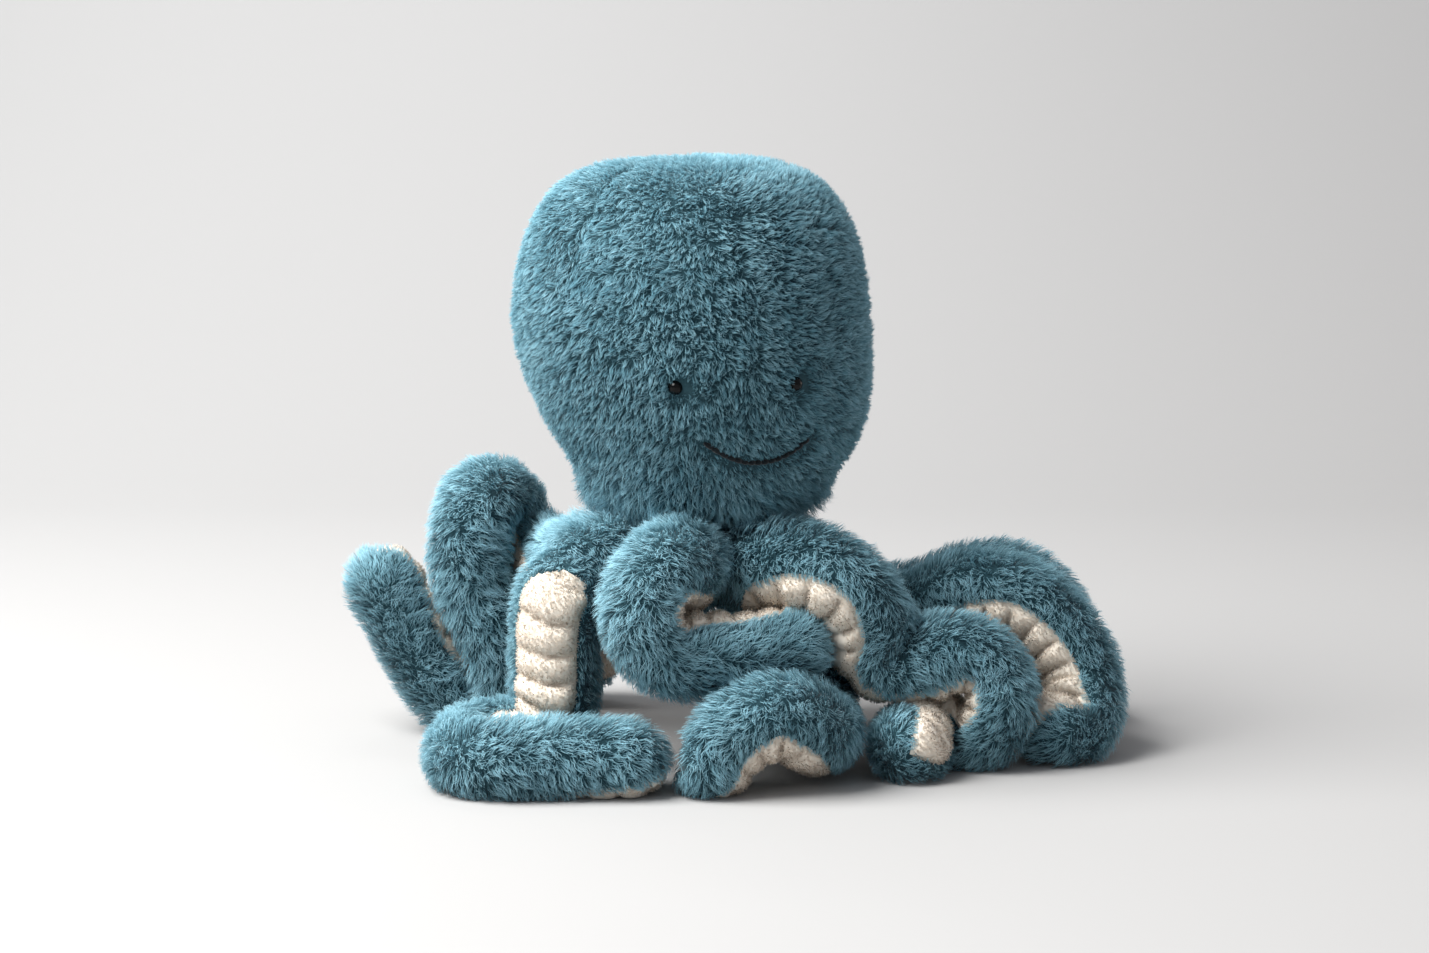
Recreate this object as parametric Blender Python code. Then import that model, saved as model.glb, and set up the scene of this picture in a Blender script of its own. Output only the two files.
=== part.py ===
"""Plush octopus, built as it is sewn: cloth panels round fillings, in metres, +Z up.

The face looks along -Y, and the origin is on the floor at the middle of the footprint.
Left and right are as seen by someone who faces the toy.
A stuffed head sits on a small round hub, and eight arms grow from the hub.
Each arm is a long-pile upper panel, a gathered short-pile under panel and a filling.
The arms lie as in the photograph: bent, crossed over each other and resting on the floor.
"""

import math

import bmesh
import bpy
import numpy as np
from mathutils import Matrix, Vector
from mathutils.bvhtree import BVHTree

# Clearances between pieces that touch on the real toy
GAP = 0.0003
CORE_GAP = 0.0008
SEAM_GAP = 0.0004

# Cloth
CLOTH = 0.0022
SEAM_FOLD = 0.0055
SEAM_DIP = 0.0022

# Hub under the head, with the ball that the head nods on.
# Its heights, and the head's, follow from the height of the arms' roots.
ROOT_HEIGHT = 0.100
HUB_RADIUS = 0.029
HUB_DEPTH = 0.020
HUB_BOTTOM = ROOT_HEIGHT - HUB_DEPTH
BASE_DISC_THICKNESS = 0.003
NECK_RISE = 0.006
NECK_PIVOT_HEIGHT = ROOT_HEIGHT + NECK_RISE
NECK_BALL_SHARE = 1.0345
NECK_BALL_RADIUS = HUB_RADIUS * NECK_BALL_SHARE
NECK_BALL_ANGLE = math.radians(74)
COLLAR_RISE = 0.012
COLLAR_THICKNESS = 0.007
COLLAR_BOTTOM = NECK_PIVOT_HEIGHT + COLLAR_RISE
COLLAR_TOP = COLLAR_BOTTOM + COLLAR_THICKNESS
SOCKET_ANGLE = math.radians(40)
SOCKET_GAP = 0.0009

# Head
HEAD_RISE = 0.004
HEAD_HEIGHT = 0.167
HEAD_RADIUS = 0.0855
NECK_EDGE_HEIGHT = COLLAR_TOP + HEAD_RISE
HEAD_TOP = NECK_EDGE_HEIGHT + HEAD_HEIGHT
HEAD_LEAN = 0.008
SEAM_BEARINGS = (math.radians(-56), math.radians(36), math.radians(126), math.radians(214))
SEAM_SHOULDER = math.radians(5)
HEAD_COLUMN = math.radians(15)

# Radius as a share of the head's radius, height as a share of the head's height,
# and how much of the lean the ring takes
HEAD_PROFILE_SHARES = (
    (0.390, 0.000, 0.0),
    (0.605, 0.022, 0.7),
    (0.708, 0.075, 0.9),
    (0.820, 0.163, 1.1),
    (0.925, 0.280, 0.8),
    (0.990, 0.430, 0.3),
    (1.000, 0.565, 0.0),
    (0.968, 0.705, 0.0),
    (0.885, 0.832, 0.0),
    (0.735, 0.932, 0.0),
    (0.500, 0.983, 0.0),
)
CROWN_MIDDLE_SHARES = (0.250, 0.996)

# Face: widths in shares of the head's radius, levels in shares of the head's height
EYE_SPACING_SHARE = 0.7018
EYE_SPACING = HEAD_RADIUS * EYE_SPACING_SHARE
EYE_LEVEL_SHARE = 0.3862
EYE_HEIGHT = NECK_EDGE_HEIGHT + HEAD_HEIGHT * EYE_LEVEL_SHARE
EYE_RADIUS = 0.0036
EYE_BULGE_SHARE = 0.80
EYE_POST_RADIUS = 0.0010
EYE_POST_LENGTH = 0.0060
EYE_WASHER_RADIUS = 0.0045
EYE_WASHER_THICKNESS = 0.0010
MOUTH_WIDTH_SHARE = 0.6023
MOUTH_WIDTH = HEAD_RADIUS * MOUTH_WIDTH_SHARE
MOUTH_MIDDLE = HEAD_LEAN * 0.675
MOUTH_DEPTH = 0.011
MOUTH_LEVEL_SHARE = 0.1557
MOUTH_HEIGHT = NECK_EDGE_HEIGHT + HEAD_HEIGHT * MOUTH_LEVEL_SHARE
MOUTH_THREAD_RADIUS = 0.0008
MOUTH_STITCHES = 16

# Arms
ARM_COUNT = 8
ARM_HALF_STEP = math.pi / ARM_COUNT
ROOT_RADIUS = 0.0205
MIDDLE_RADIUS = 0.0188
TIP_RADIUS = 0.0172
ROOT_SIDE_GAP = 0.0012
ROOT_WEDGE_LENGTH = 0.030
ROOT_FADE_LENGTH = 0.026
TIP_STATION_SHARES = (0.55, 0.86, 0.985)
BACK_SHARES = (-1.0, -0.6, -0.2, 0.2, 0.6, 1.0)
UNDER_SHARES = (0.0, 0.25, 0.75, 1.0)
STATION_SPACING = 0.0195
BEND_CROWDING_SHARE = 1.0256
PUFF_HEIGHT = 0.0014
PINCH_DEPTH = 0.0026
BEND_REACH_SHARE = 0.75
BEND_LEAST_TURN = 0.02
UPPER_HALF_ANGLE = math.radians(125)
EDGE_TURN = math.radians(2.8)

# The arms' routes are laid out as the camera sees them: right, away and up,
# in shares of the root height, in a frame turned by this angle from the face
VIEW_TURN = math.radians(-16)

# Height of an arm's middle where it lies on the floor
LYING_SHARE = 0.160

# Middle of the footprint, right and away of the hub's axis, in the toy's own frame
FOOTPRINT_MIDDLE_SHARES = (0.37387, 0.12673)

# Each row: right, away, up, then the direction that the gathered side faces
ROUTE_SHARES = {
    "front_left": (
        (-0.06, -0.46, 1.01, 0.0, 0.2, -1.0),
        (-0.05, -0.66, 1.05, 0.1, 0.6, -0.9),
        (-0.15, -0.82, 1.02, 0.8, 0.5, -0.5),
        (-0.21, -0.88, 0.85, 1.0, 0.4, 0.0),
        (-0.11, -0.84, 0.67, 0.6, 0.4, 0.8),
        (0.12, -0.76, 0.63, 0.0, 0.5, 1.0),
        (0.36, -0.69, 0.64, -0.1, 0.6, 0.9),
        (0.47, -0.64, 0.65, -0.2, 0.7, 0.8),
    ),
    "front_right": (
        (0.33, -0.38, 1.00, -0.1, 0.0, -1.0),
        (0.52, -0.50, 1.02, -0.2, -0.5, -0.9),
        (0.73, -0.55, 0.94, -0.6, -0.6, -0.6),
        (0.87, -0.52, 0.76, -0.9, -0.4, -0.3),
        (0.91, -0.47, 0.58, -0.6, 0.2, -0.7),
        (1.06, -0.45, 0.53, -0.1, 0.3, -1.0),
        (1.27, -0.44, 0.57, 0.0, 0.1, -1.0),
        (1.43, -0.44, 0.51, -0.6, -0.1, -0.8),
        (1.50, -0.46, 0.34, -1.0, 0.0, -0.1),
        (1.43, -0.42, 0.19, -0.5, 0.1, 0.9),
        (1.30, -0.36, LYING_SHARE, -0.1, 0.2, 0.9),
        (1.17, -0.40, LYING_SHARE, 0.3, 0.2, 0.9),
        (1.10, -0.52, LYING_SHARE, 0.6, 0.1, 0.8),
        (1.08, -0.67, LYING_SHARE, 0.9, 0.0, 0.5),
    ),
    "right_front": (
        (0.46, -0.05, 0.96, 0.0, 0.1, -1.0),
        (0.60, -0.06, 0.86, -0.4, 0.1, -1.0),
        (0.66, -0.12, 0.64, -1.0, 0.0, -0.3),
        (0.61, -0.26, 0.42, -0.9, 0.2, -0.7),
        (0.60, -0.48, 0.26, -0.7, 0.1, -1.0),
        (0.62, -0.71, 0.23, -0.6, 0.0, -1.0),
        (0.57, -0.91, 0.31, -0.3, -0.1, -1.0),
        (0.41, -1.00, 0.38, -0.1, -0.4, -1.0),
        (0.23, -1.02, 0.30, 0.4, -0.1, -0.8),
        (0.12, -1.00, LYING_SHARE, 0.8, 0.1, -0.5),
    ),
    "right_back": (
        (0.35, 0.31, 0.96, 0.0, 0.0, -1.0),
        (0.56, 0.38, 0.86, -0.2, -0.2, -1.0),
        (0.84, 0.30, 0.68, 0.0, -0.3, -1.0),
        (1.12, 0.14, 0.66, 0.1, -0.4, -1.0),
        (1.40, 0.06, 0.79, 0.0, -0.5, -1.0),
        (1.66, 0.01, 0.76, -0.5, -0.6, -0.8),
        (1.86, -0.02, 0.58, -0.9, -0.6, -0.3),
        (1.96, -0.06, 0.38, -1.0, -0.5, 0.1),
        (1.94, -0.20, 0.19, -0.5, 0.2, 0.9),
        (1.82, -0.30, LYING_SHARE, -0.5, 0.1, 0.9),
    ),
    "back_right": (
        (0.05, 0.47, 0.94, 0.0, 0.0, -1.0),
        (0.18, 0.66, 0.86, 0.0, 0.0, -1.0),
        (0.46, 0.78, 0.72, 0.0, 0.0, -1.0),
        (0.84, 0.74, 0.60, 0.0, 0.0, -1.0),
        (1.18, 0.62, 0.63, 0.0, 0.0, -1.0),
        (1.46, 0.50, 0.76, 0.0, 0.0, -1.0),
        (1.70, 0.47, 0.75, -0.5, 0.0, -0.8),
        (1.86, 0.48, 0.58, -1.0, 0.1, -0.3),
        (1.91, 0.55, 0.35, -1.0, 0.2, 0.1),
        (1.96, 0.72, 0.20, -0.6, 0.2, 0.8),
        (1.98, 0.88, LYING_SHARE, -0.6, 0.0, 0.8),
    ),
    "back_left": (
        (-0.27, 0.37, 0.94, 0.0, 0.0, -1.0),
        (-0.33, 0.62, 0.86, 0.2, -0.2, -1.0),
        (-0.40, 0.84, 0.70, 0.5, -0.6, -0.6),
        (-0.47, 1.00, 0.48, 0.6, -0.8, -0.3),
        (-0.59, 1.10, 0.27, 0.5, -0.8, 0.2),
        (-0.84, 1.12, LYING_SHARE, 0.0, -0.6, 0.8),
        (-1.06, 1.08, LYING_SHARE, 0.0, -0.6, 0.8),
        (-1.22, 0.94, LYING_SHARE, 0.3, -0.6, 0.8),
    ),
    "left_back": (
        (-0.47, 0.05, 0.95, -0.2, -0.1, -1.0),
        (-0.60, 0.23, 0.90, -0.5, -0.35, -0.8),
        (-0.71, 0.46, 0.87, -0.75, -0.56, -0.35),
        (-0.85, 0.67, 0.92, -0.8, -0.6, 0.0),
        (-0.95, 0.73, 1.05, -0.6, -0.8, 0.0),
        (-1.01, 0.63, 1.17, -0.35, -0.6, -0.5),
        (-1.07, 0.47, 1.19, 0.0, 0.0, -1.0),
        (-1.11, 0.35, 1.10, 0.4, 0.7, -0.5),
        (-1.13, 0.33, 0.92, 0.5, 0.9, 0.0),
        (-1.09, 0.34, 0.74, 0.5, 0.9, 0.0),
        (-1.01, 0.34, 0.57, 0.4, 0.9, 0.1),
        (-0.965, 0.37, 0.39, 0.3, 0.95, 0.1),
        (-1.01, 0.41, 0.235, 0.2, 0.9, 0.3),
        (-1.13, 0.43, 0.165, 0.15, 0.75, 0.6),
        (-1.26, 0.43, 0.225, 0.3, 0.4, 0.85),
        (-1.37, 0.43, 0.38, 0.75, 0.2, 0.6),
        (-1.47, 0.43, 0.57, 0.9, 0.4, 0.4),
        (-1.57, 0.43, 0.77, 0.7, 0.7, 0.3),
    ),
    "left_front": (
        (-0.34, -0.30, 0.99, 0.0, -0.3, -1.0),
        (-0.47, -0.42, 1.01, -0.2, -0.7, -0.7),
        (-0.59, -0.52, 0.93, -0.3, -1.0, -0.3),
        (-0.65, -0.57, 0.78, -0.3, -1.0, 0.0),
        (-0.66, -0.57, 0.53, -0.3, -1.0, 0.0),
        (-0.67, -0.57, 0.38, -0.3, -1.0, 0.1),
        (-0.76, -0.57, 0.23, -0.2, -1.0, 0.2),
        (-0.93, -0.60, 0.17, -0.1, -1.0, 0.2),
        (-1.05, -0.70, LYING_SHARE, 0.8, -0.7, 0.0),
        (-1.04, -0.93, LYING_SHARE, 0.9, 0.4, -0.3),
        (-0.88, -1.01, LYING_SHARE, 0.0, 0.8, -0.7),
        (-0.58, -1.00, LYING_SHARE, 0.0, 0.3, -1.0),
        (-0.30, -1.00, LYING_SHARE, 0.0, 0.0, -1.0),
    ),
}
ARM_NAMES = tuple(ROUTE_SHARES)


def clear_scene():
    for item in list(bpy.data.objects):
        bpy.data.objects.remove(item, do_unlink=True)


def make_material(name, colour, roughness):
    material = bpy.data.materials.new(name)
    material.use_nodes = True
    shader = material.node_tree.nodes["Principled BSDF"]
    shader.inputs["Base Color"].default_value = (*colour, 1.0)
    shader.inputs["Roughness"].default_value = roughness
    shader.inputs["Metallic"].default_value = 0.0
    return material


def add_object(name, vertices, faces, material, carrier=None, smooth=True):
    """One closed solid, with its origin on the empty that carries it."""
    origin = Vector(carrier.location) if carrier else Vector((0, 0, 0))
    mesh = bpy.data.meshes.new(name)
    mesh.from_pydata([Vector(v) - origin for v in vertices], [], faces)
    work = bmesh.new()
    work.from_mesh(mesh)
    bmesh.ops.recalc_face_normals(work, faces=work.faces[:])
    work.to_mesh(mesh)
    work.free()
    if smooth:
        mesh.shade_smooth()
        mesh.set_sharp_from_angle(angle=math.radians(50))
    mesh.materials.append(material)
    item = bpy.data.objects.new(name, mesh)
    bpy.context.collection.objects.link(item)
    if carrier:
        item.parent = carrier
    return item


def add_carrier(name, place):
    """An empty on a joint's axis."""
    empty = bpy.data.objects.new(name, None)
    empty.location = place
    bpy.context.collection.objects.link(empty)
    return empty


def loft(rings, turned=()):
    """Closed tube of triangles through rings of equal count, with flat end caps.

    The turned columns are split along their other diagonal, so that two layers with
    a thin gap between them bend alike where the tube twists.
    """
    count = len(rings[0])
    vertices = [point for ring in rings for point in ring]
    faces = []
    for row in range(len(rings) - 1):
        for column in range(count):
            following = (column + 1) % count
            low = row * count
            high = low + count
            if column in turned:
                faces.append((low + column, low + following, high + column))
                faces.append((low + following, high + following, high + column))
            else:
                faces.append((low + column, low + following, high + following))
                faces.append((low + column, high + following, high + column))
    last = (len(rings) - 1) * count
    faces.append(tuple(range(count)))
    faces.append(tuple(last + column for column in range(count)))
    return vertices, faces


def turn_profile(profile, sides):
    """Closed solid of revolution: the profile's ends lie on the axis."""
    vertices = [(0.0, 0.0, profile[0][1])]
    for radius, height in profile[1:-1]:
        for side in range(sides):
            angle = math.tau * side / sides
            vertices.append((radius * math.sin(angle), -radius * math.cos(angle), height))
    vertices.append((0.0, 0.0, profile[-1][1]))
    top = len(vertices) - 1
    rows = len(profile) - 2
    faces = []
    for side in range(sides):
        following = (side + 1) % sides
        faces.append((0, 1 + side, 1 + following))
        for row in range(rows - 1):
            low = 1 + row * sides
            high = low + sides
            faces.append((low + side, high + side, high + following, low + following))
        last = 1 + (rows - 1) * sides
        faces.append((last + side, top, last + following))
    return vertices, faces


# Head


def head_frame(row):
    """Radius, height, lean and outward normal of one ring of the head's profile."""
    places = [(HEAD_RADIUS * r, NECK_EDGE_HEIGHT + HEAD_HEIGHT * h) for r, h, _ in HEAD_PROFILE_SHARES]
    before = places[max(row - 1, 0)]
    after = places[min(row + 1, len(places) - 1)]
    run = math.hypot(after[0] - before[0], after[1] - before[1])
    normal = ((after[1] - before[1]) / run, -(after[0] - before[0]) / run)
    return places[row][0], places[row][1], HEAD_LEAN * HEAD_PROFILE_SHARES[row][2], normal


def head_point(row, bearing, depth, dip):
    """Point at a depth under the head's surface; dip draws it in beside a seam."""
    radius, height, lean, normal = head_frame(row)
    inward = depth + dip * min(1.0, normal[0] + 0.3)
    reach = radius - inward * normal[0]
    level = height - inward * normal[1]
    shift = lean * Vector((math.cos(VIEW_TURN), math.sin(VIEW_TURN), 0.0))
    return Vector((reach * math.sin(bearing), -reach * math.cos(bearing), level)) + shift


def panel_columns(start, end):
    """Bearings across a panel: close to the seams first, then at even steps."""
    inner_start = start + SEAM_SHOULDER
    inner_end = end - SEAM_SHOULDER
    steps = max(1, round((inner_end - inner_start) / HEAD_COLUMN))
    middle = [inner_start + (inner_end - inner_start) * step / steps for step in range(steps + 1)]
    return [start, *middle, end]


def head_panel(name, start, end, material, carrier):
    half_gap = SEAM_GAP / HEAD_RADIUS
    columns = panel_columns(start + half_gap, end - half_gap)
    rows = len(HEAD_PROFILE_SHARES)
    rings = []
    for place, bearing in enumerate(columns):
        dip = SEAM_DIP if place in (0, len(columns) - 1) else 0.0
        outer = [head_point(row, bearing, 0.0, dip) for row in range(rows)]
        inner = [head_point(row, bearing, CLOTH, dip) for row in range(rows)]
        rings.append(outer + inner[::-1])
    vertices, faces = loft(rings, range(rows, 2 * rows))
    return add_object(name, vertices, faces, material, carrier)


def head_columns():
    """Bearing and dip of every column of the head's panels, once round."""
    columns = []
    for start, end in zip(SEAM_BEARINGS, SEAM_BEARINGS[1:] + (SEAM_BEARINGS[0] + math.tau,)):
        for place, bearing in enumerate(panel_columns(start, end)[:-1]):
            columns.append((bearing, SEAM_DIP if place == 0 else 0.0))
    return columns


def round_level(radius, height, columns):
    return [Vector((radius * math.sin(b), -radius * math.cos(b), height)) for b, _ in columns]


def stacked_rings(rings, first_centre, last_centre):
    """Faces of a closed solid through rings of equal count, with a point at each end."""
    count = len(rings[0])
    vertices = [point for ring in rings for point in ring] + [first_centre, last_centre]
    faces = []
    for column in range(count):
        following = (column + 1) % count
        for row in range(len(rings) - 1):
            low = row * count
            high = low + count
            faces.append((low + column, low + following, high + following, high + column))
        last = (len(rings) - 1) * count
        faces.append((len(vertices) - 2, following, column))
        faces.append((len(vertices) - 1, last + column, last + following))
    return vertices, faces


def crown_panel(material, carrier):
    """Shallow cap that closes the top of the head inside the panels' last ring."""
    columns = head_columns()
    row = len(HEAD_PROFILE_SHARES) - 1
    middle_radius = HEAD_RADIUS * CROWN_MIDDLE_SHARES[0]
    middle_height = NECK_EDGE_HEIGHT + (HEAD_TOP - NECK_EDGE_HEIGHT) * CROWN_MIDDLE_SHARES[1]
    rims = []
    for depth in (CLOTH, 0.0):
        rim = [head_point(row, b, depth, dip) for b, dip in columns]
        rims.append([p - Vector((math.sin(b), -math.cos(b), 0)) * 2 * SEAM_GAP for p, (b, _) in zip(rim, columns)])
    rings = [
        round_level(middle_radius, middle_height - CLOTH, columns),
        *rims,
        round_level(middle_radius, middle_height, columns),
    ]
    vertices, faces = stacked_rings(rings, Vector((0, 0, HEAD_TOP - CLOTH)), Vector((0, 0, HEAD_TOP)))
    return add_object("crown_panel", vertices, faces, material, carrier)


def head_filling(material, carrier):
    """Stuffing of the head, with the hollow that sits on the hub's ball."""
    depth = CLOTH + CORE_GAP
    columns = head_columns()
    socket = NECK_BALL_RADIUS + SOCKET_GAP
    rings = []
    for part in range(1, 4):
        angle = SOCKET_ANGLE * part / 3
        height = NECK_PIVOT_HEIGHT + socket * math.cos(angle)
        rings.append(round_level(socket * math.sin(angle), height, columns))
    for row in range(len(HEAD_PROFILE_SHARES)):
        rings.append([head_point(row, b, depth, dip) for b, dip in columns])
    middle_height = NECK_EDGE_HEIGHT + (HEAD_TOP - NECK_EDGE_HEIGHT) * CROWN_MIDDLE_SHARES[1]
    rings.append(round_level(HEAD_RADIUS * CROWN_MIDDLE_SHARES[0], middle_height - depth, columns))
    bottom = Vector((0, 0, NECK_PIVOT_HEIGHT + socket))
    vertices, faces = stacked_rings(rings, bottom, Vector((0, 0, HEAD_TOP - depth)))
    return add_object("head_filling", vertices, faces, material, carrier)


def surface_at(tree, bearing, height):
    """Place and outward normal on the face panel, found from inside the head."""
    start = Vector((0.0, 0.0, height))
    direction = Vector((math.sin(bearing), -math.cos(bearing), 0.0))
    outside = start + direction * (2 * HEAD_RADIUS)
    place, normal, _, _ = tree.ray_cast(outside, -direction)
    return place, normal


def world_tree(item):
    work = bmesh.new()
    work.from_mesh(item.data)
    work.transform(Matrix.Translation(item.parent.location))
    tree = BVHTree.FromBMesh(work)
    work.free()
    return tree


def ring_solid(section, sides):
    """Ring round the Z axis whose section is a closed line of radius and height."""
    count = len(section)
    vertices = []
    for index in range(sides):
        angle = math.tau * index / sides
        for radius, height in section:
            vertices.append(Vector((radius * math.sin(angle), -radius * math.cos(angle), height)))
    faces = []
    for index in range(sides):
        low = index * count
        high = (index + 1) % sides * count
        for corner in range(count):
            nxt = (corner + 1) % count
            faces.append((low + corner, low + nxt, high + nxt, high + corner))
    return vertices, faces


def turned_solid(name, profile, sides, place, outward, material, carrier):
    """Round piece whose axis stands on a surface, pointing outward."""
    vertices, faces = turn_profile(profile, sides)
    turn = outward.to_track_quat("Z", "Y").to_matrix()
    return add_object(name, [place + turn @ Vector(v) for v in vertices], faces, material, carrier)


def cut(item, name, profile, place, outward):
    """Round hole of the given profile along an outward axis."""
    vertices, faces = turn_profile(profile, 12)
    turn = outward.to_track_quat("Z", "Y").to_matrix()
    cutter = add_object(name, [place + turn @ Vector(v) for v in vertices], faces, item.data.materials[0],
                        item.parent, smooth=False)
    cutter.hide_render = True
    cutter.display_type = "WIRE"
    modifier = item.modifiers.new(name, "BOOLEAN")
    modifier.operation = "DIFFERENCE"
    modifier.solver = "EXACT"
    modifier.object = cutter


def add_eye(side, bearing, tree, panel, filling, materials, carrier):
    """Bead on a post through the cloth, held by a washer in the filling."""
    place, outward = surface_at(tree, bearing, EYE_HEIGHT)
    seat = place + outward * GAP
    bulge = EYE_RADIUS * EYE_BULGE_SHARE
    steps = 5
    profile = [(0.0, -EYE_POST_LENGTH), (EYE_POST_RADIUS, -EYE_POST_LENGTH), (EYE_POST_RADIUS, 0.0)]
    for step in range(steps):
        angle = math.pi / 2 * step / steps
        profile.append((EYE_RADIUS * math.cos(angle), bulge * (math.sin(angle) + 1 - EYE_BULGE_SHARE)))
    profile.append((0.0, bulge * (2 - EYE_BULGE_SHARE)))
    turned_solid(f"eye_{side}", profile, 14, seat, outward, materials["eye"], carrier)
    top = -(CLOTH + CORE_GAP)
    bottom = top - EYE_WASHER_THICKNESS
    hole = EYE_POST_RADIUS + GAP
    ring = [(EYE_WASHER_RADIUS, bottom), (EYE_WASHER_RADIUS, top), (hole, top), (hole, bottom)]
    turn = outward.to_track_quat("Z", "Y").to_matrix()
    vertices, faces = ring_solid(ring, 14)
    vertices = [seat + turn @ v for v in vertices]
    add_object(f"eye_washer_{side}", vertices, faces, materials["washer"], carrier)
    through = ((0.0, -2 * CLOTH), (hole, -2 * CLOTH), (hole, CLOTH), (0.0, CLOTH))
    cut(panel, f"eye_hole_{side}", through, place, outward)
    deep = EYE_POST_LENGTH + 2 * GAP
    wide = EYE_WASHER_RADIUS + GAP
    floor = bottom - GAP
    pocket = ((0.0, -deep), (hole, -deep), (hole, floor), (wide, floor), (wide, CLOTH), (0.0, CLOTH))
    cut(filling, f"eye_pocket_{side}", pocket, place, outward)


def add_mouth(tree, material, carrier):
    """Thread that follows the face in one smiling line."""
    rings = []
    corners = 5
    lift = MOUTH_THREAD_RADIUS + GAP
    places = []
    for stitch in range(MOUTH_STITCHES + 1):
        share = 2 * stitch / MOUTH_STITCHES - 1
        bearing = (share * MOUTH_WIDTH / 2 + MOUTH_MIDDLE) / (HEAD_RADIUS * HEAD_PROFILE_SHARES[3][0])
        height = MOUTH_HEIGHT + MOUTH_DEPTH * abs(share) ** 2.2
        place, outward = surface_at(tree, bearing, height)
        places.append((place + outward * lift, outward))
    for index, (place, outward) in enumerate(places):
        before = places[max(index - 1, 0)][0]
        after = places[min(index + 1, MOUTH_STITCHES)][0]
        along = (after - before).normalized()
        across = along.cross(outward).normalized()
        rise = across.cross(along).normalized()
        radius = MOUTH_THREAD_RADIUS * (0.6 if index in (0, MOUTH_STITCHES) else 1.0)
        ring = []
        for corner in range(corners):
            angle = math.tau * corner / corners
            ring.append(place + across * radius * math.cos(angle) + rise * radius * math.sin(angle))
        rings.append(ring)
    vertices, faces = loft(rings)
    add_object("mouth_thread", vertices, faces, material, carrier)


def build_head(materials):
    carrier = add_carrier("neck_joint", (0.0, 0.0, NECK_PIVOT_HEIGHT))
    names = ("face_panel", "side_panel_right", "back_panel", "side_panel_left")
    panels = {}
    for name, start, end in zip(names, SEAM_BEARINGS, SEAM_BEARINGS[1:] + (SEAM_BEARINGS[0] + math.tau,)):
        panels[name] = head_panel(name, start, end, materials["pile"], carrier)
    crown_panel(materials["pile"], carrier)
    filling = head_filling(materials["filling"], carrier)
    tree = world_tree(panels["face_panel"])
    eye_bearing = math.asin(EYE_SPACING / 2 / HEAD_RADIUS)
    add_eye("left", -eye_bearing, tree, panels["face_panel"], filling, materials, carrier)
    add_eye("right", eye_bearing, tree, panels["face_panel"], filling, materials, carrier)
    add_mouth(tree, materials["thread"], carrier)


# Hub


def ball_radius(height):
    return math.sqrt(NECK_BALL_RADIUS ** 2 - (height - NECK_PIVOT_HEIGHT) ** 2)


def build_hub(materials):
    profile = [(0.0, HUB_BOTTOM), (HUB_RADIUS, HUB_BOTTOM)]
    steps = 5
    for step in range(steps):
        angle = NECK_BALL_ANGLE * (1 - step / steps)
        radius = NECK_BALL_RADIUS * math.sin(angle)
        profile.append((radius, NECK_PIVOT_HEIGHT + NECK_BALL_RADIUS * math.cos(angle)))
    profile.append((0.0, NECK_PIVOT_HEIGHT + NECK_BALL_RADIUS))
    vertices, faces = turn_profile(profile, 24)
    add_object("hub_filling", vertices, faces, materials["filling"])
    top = HUB_BOTTOM - GAP
    bottom = top - BASE_DISC_THICKNESS
    disc = ((0.0, bottom), (HUB_RADIUS, bottom), (HUB_RADIUS, top), (0.0, top))
    vertices, faces = turn_profile(disc, 24)
    add_object("base_disc", vertices, faces, materials["short_pile"])
    low = COLLAR_BOTTOM
    high = COLLAR_TOP
    section = [(HUB_RADIUS, low), (HUB_RADIUS, high)]
    for step in range(4):
        height = high + (low - high) * step / 3
        section.append((ball_radius(height) + CORE_GAP, height))
    vertices, faces = ring_solid(section, 24)
    add_object("neck_collar", vertices, faces, materials["pile"])


# Arms


def root_bearing(index):
    """Direction of an arm's root, half a step either side of the face first."""
    order = (-0.5, 0.5, 1.5, 2.5, 3.5, 4.5, 5.5, 6.5)
    return order[index] * 2 * ARM_HALF_STEP


def to_toy(vector):
    turned = np.array(vector, dtype=float)
    right = math.cos(VIEW_TURN) * turned[0] - math.sin(VIEW_TURN) * turned[1]
    away = math.sin(VIEW_TURN) * turned[0] + math.cos(VIEW_TURN) * turned[1]
    return np.array((right, away, turned[2]))


def unit(vector):
    return vector / np.linalg.norm(vector)


def smooth_route(points, extras):
    """Places on a smooth curve through the points, closer in the bends, with their extras."""
    full = np.vstack((2 * points[0] - points[1], points, 2 * points[-1] - points[-2]))
    fine = []
    mixed = []
    steps = 16
    for span in range(len(points) - 1):
        a, b, c, d = full[span:span + 4]
        for step in range(steps):
            t = step / steps
            fine.append(0.5 * (2 * b + (c - a) * t + (2 * a - 5 * b + 4 * c - d) * t * t
                               + (3 * b - 3 * c + d - a) * t ** 3))
            mixed.append(extras[span] * (1 - t) + extras[span + 1] * t)
    fine.append(points[-1])
    mixed.append(extras[-1])
    fine = np.array(fine)
    mixed = np.array(mixed)
    pieces = np.diff(fine, axis=0)
    lengths = np.linalg.norm(pieces, axis=1)
    headings = pieces / lengths[:, None]
    turning = np.concatenate(([0.0], np.linalg.norm(np.diff(headings, axis=0), axis=1)))
    pace = np.concatenate(([0.0], np.cumsum(lengths + STATION_SPACING * BEND_CROWDING_SHARE * turning)))
    wanted = np.linspace(0.0, pace[-1], 1 + round(pace[-1] / STATION_SPACING))
    places = np.array([np.interp(wanted, pace, fine[:, axis]) for axis in range(3)]).T
    sides = np.array([np.interp(wanted, pace, mixed[:, axis]) for axis in range(3)]).T
    return places, sides


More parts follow.
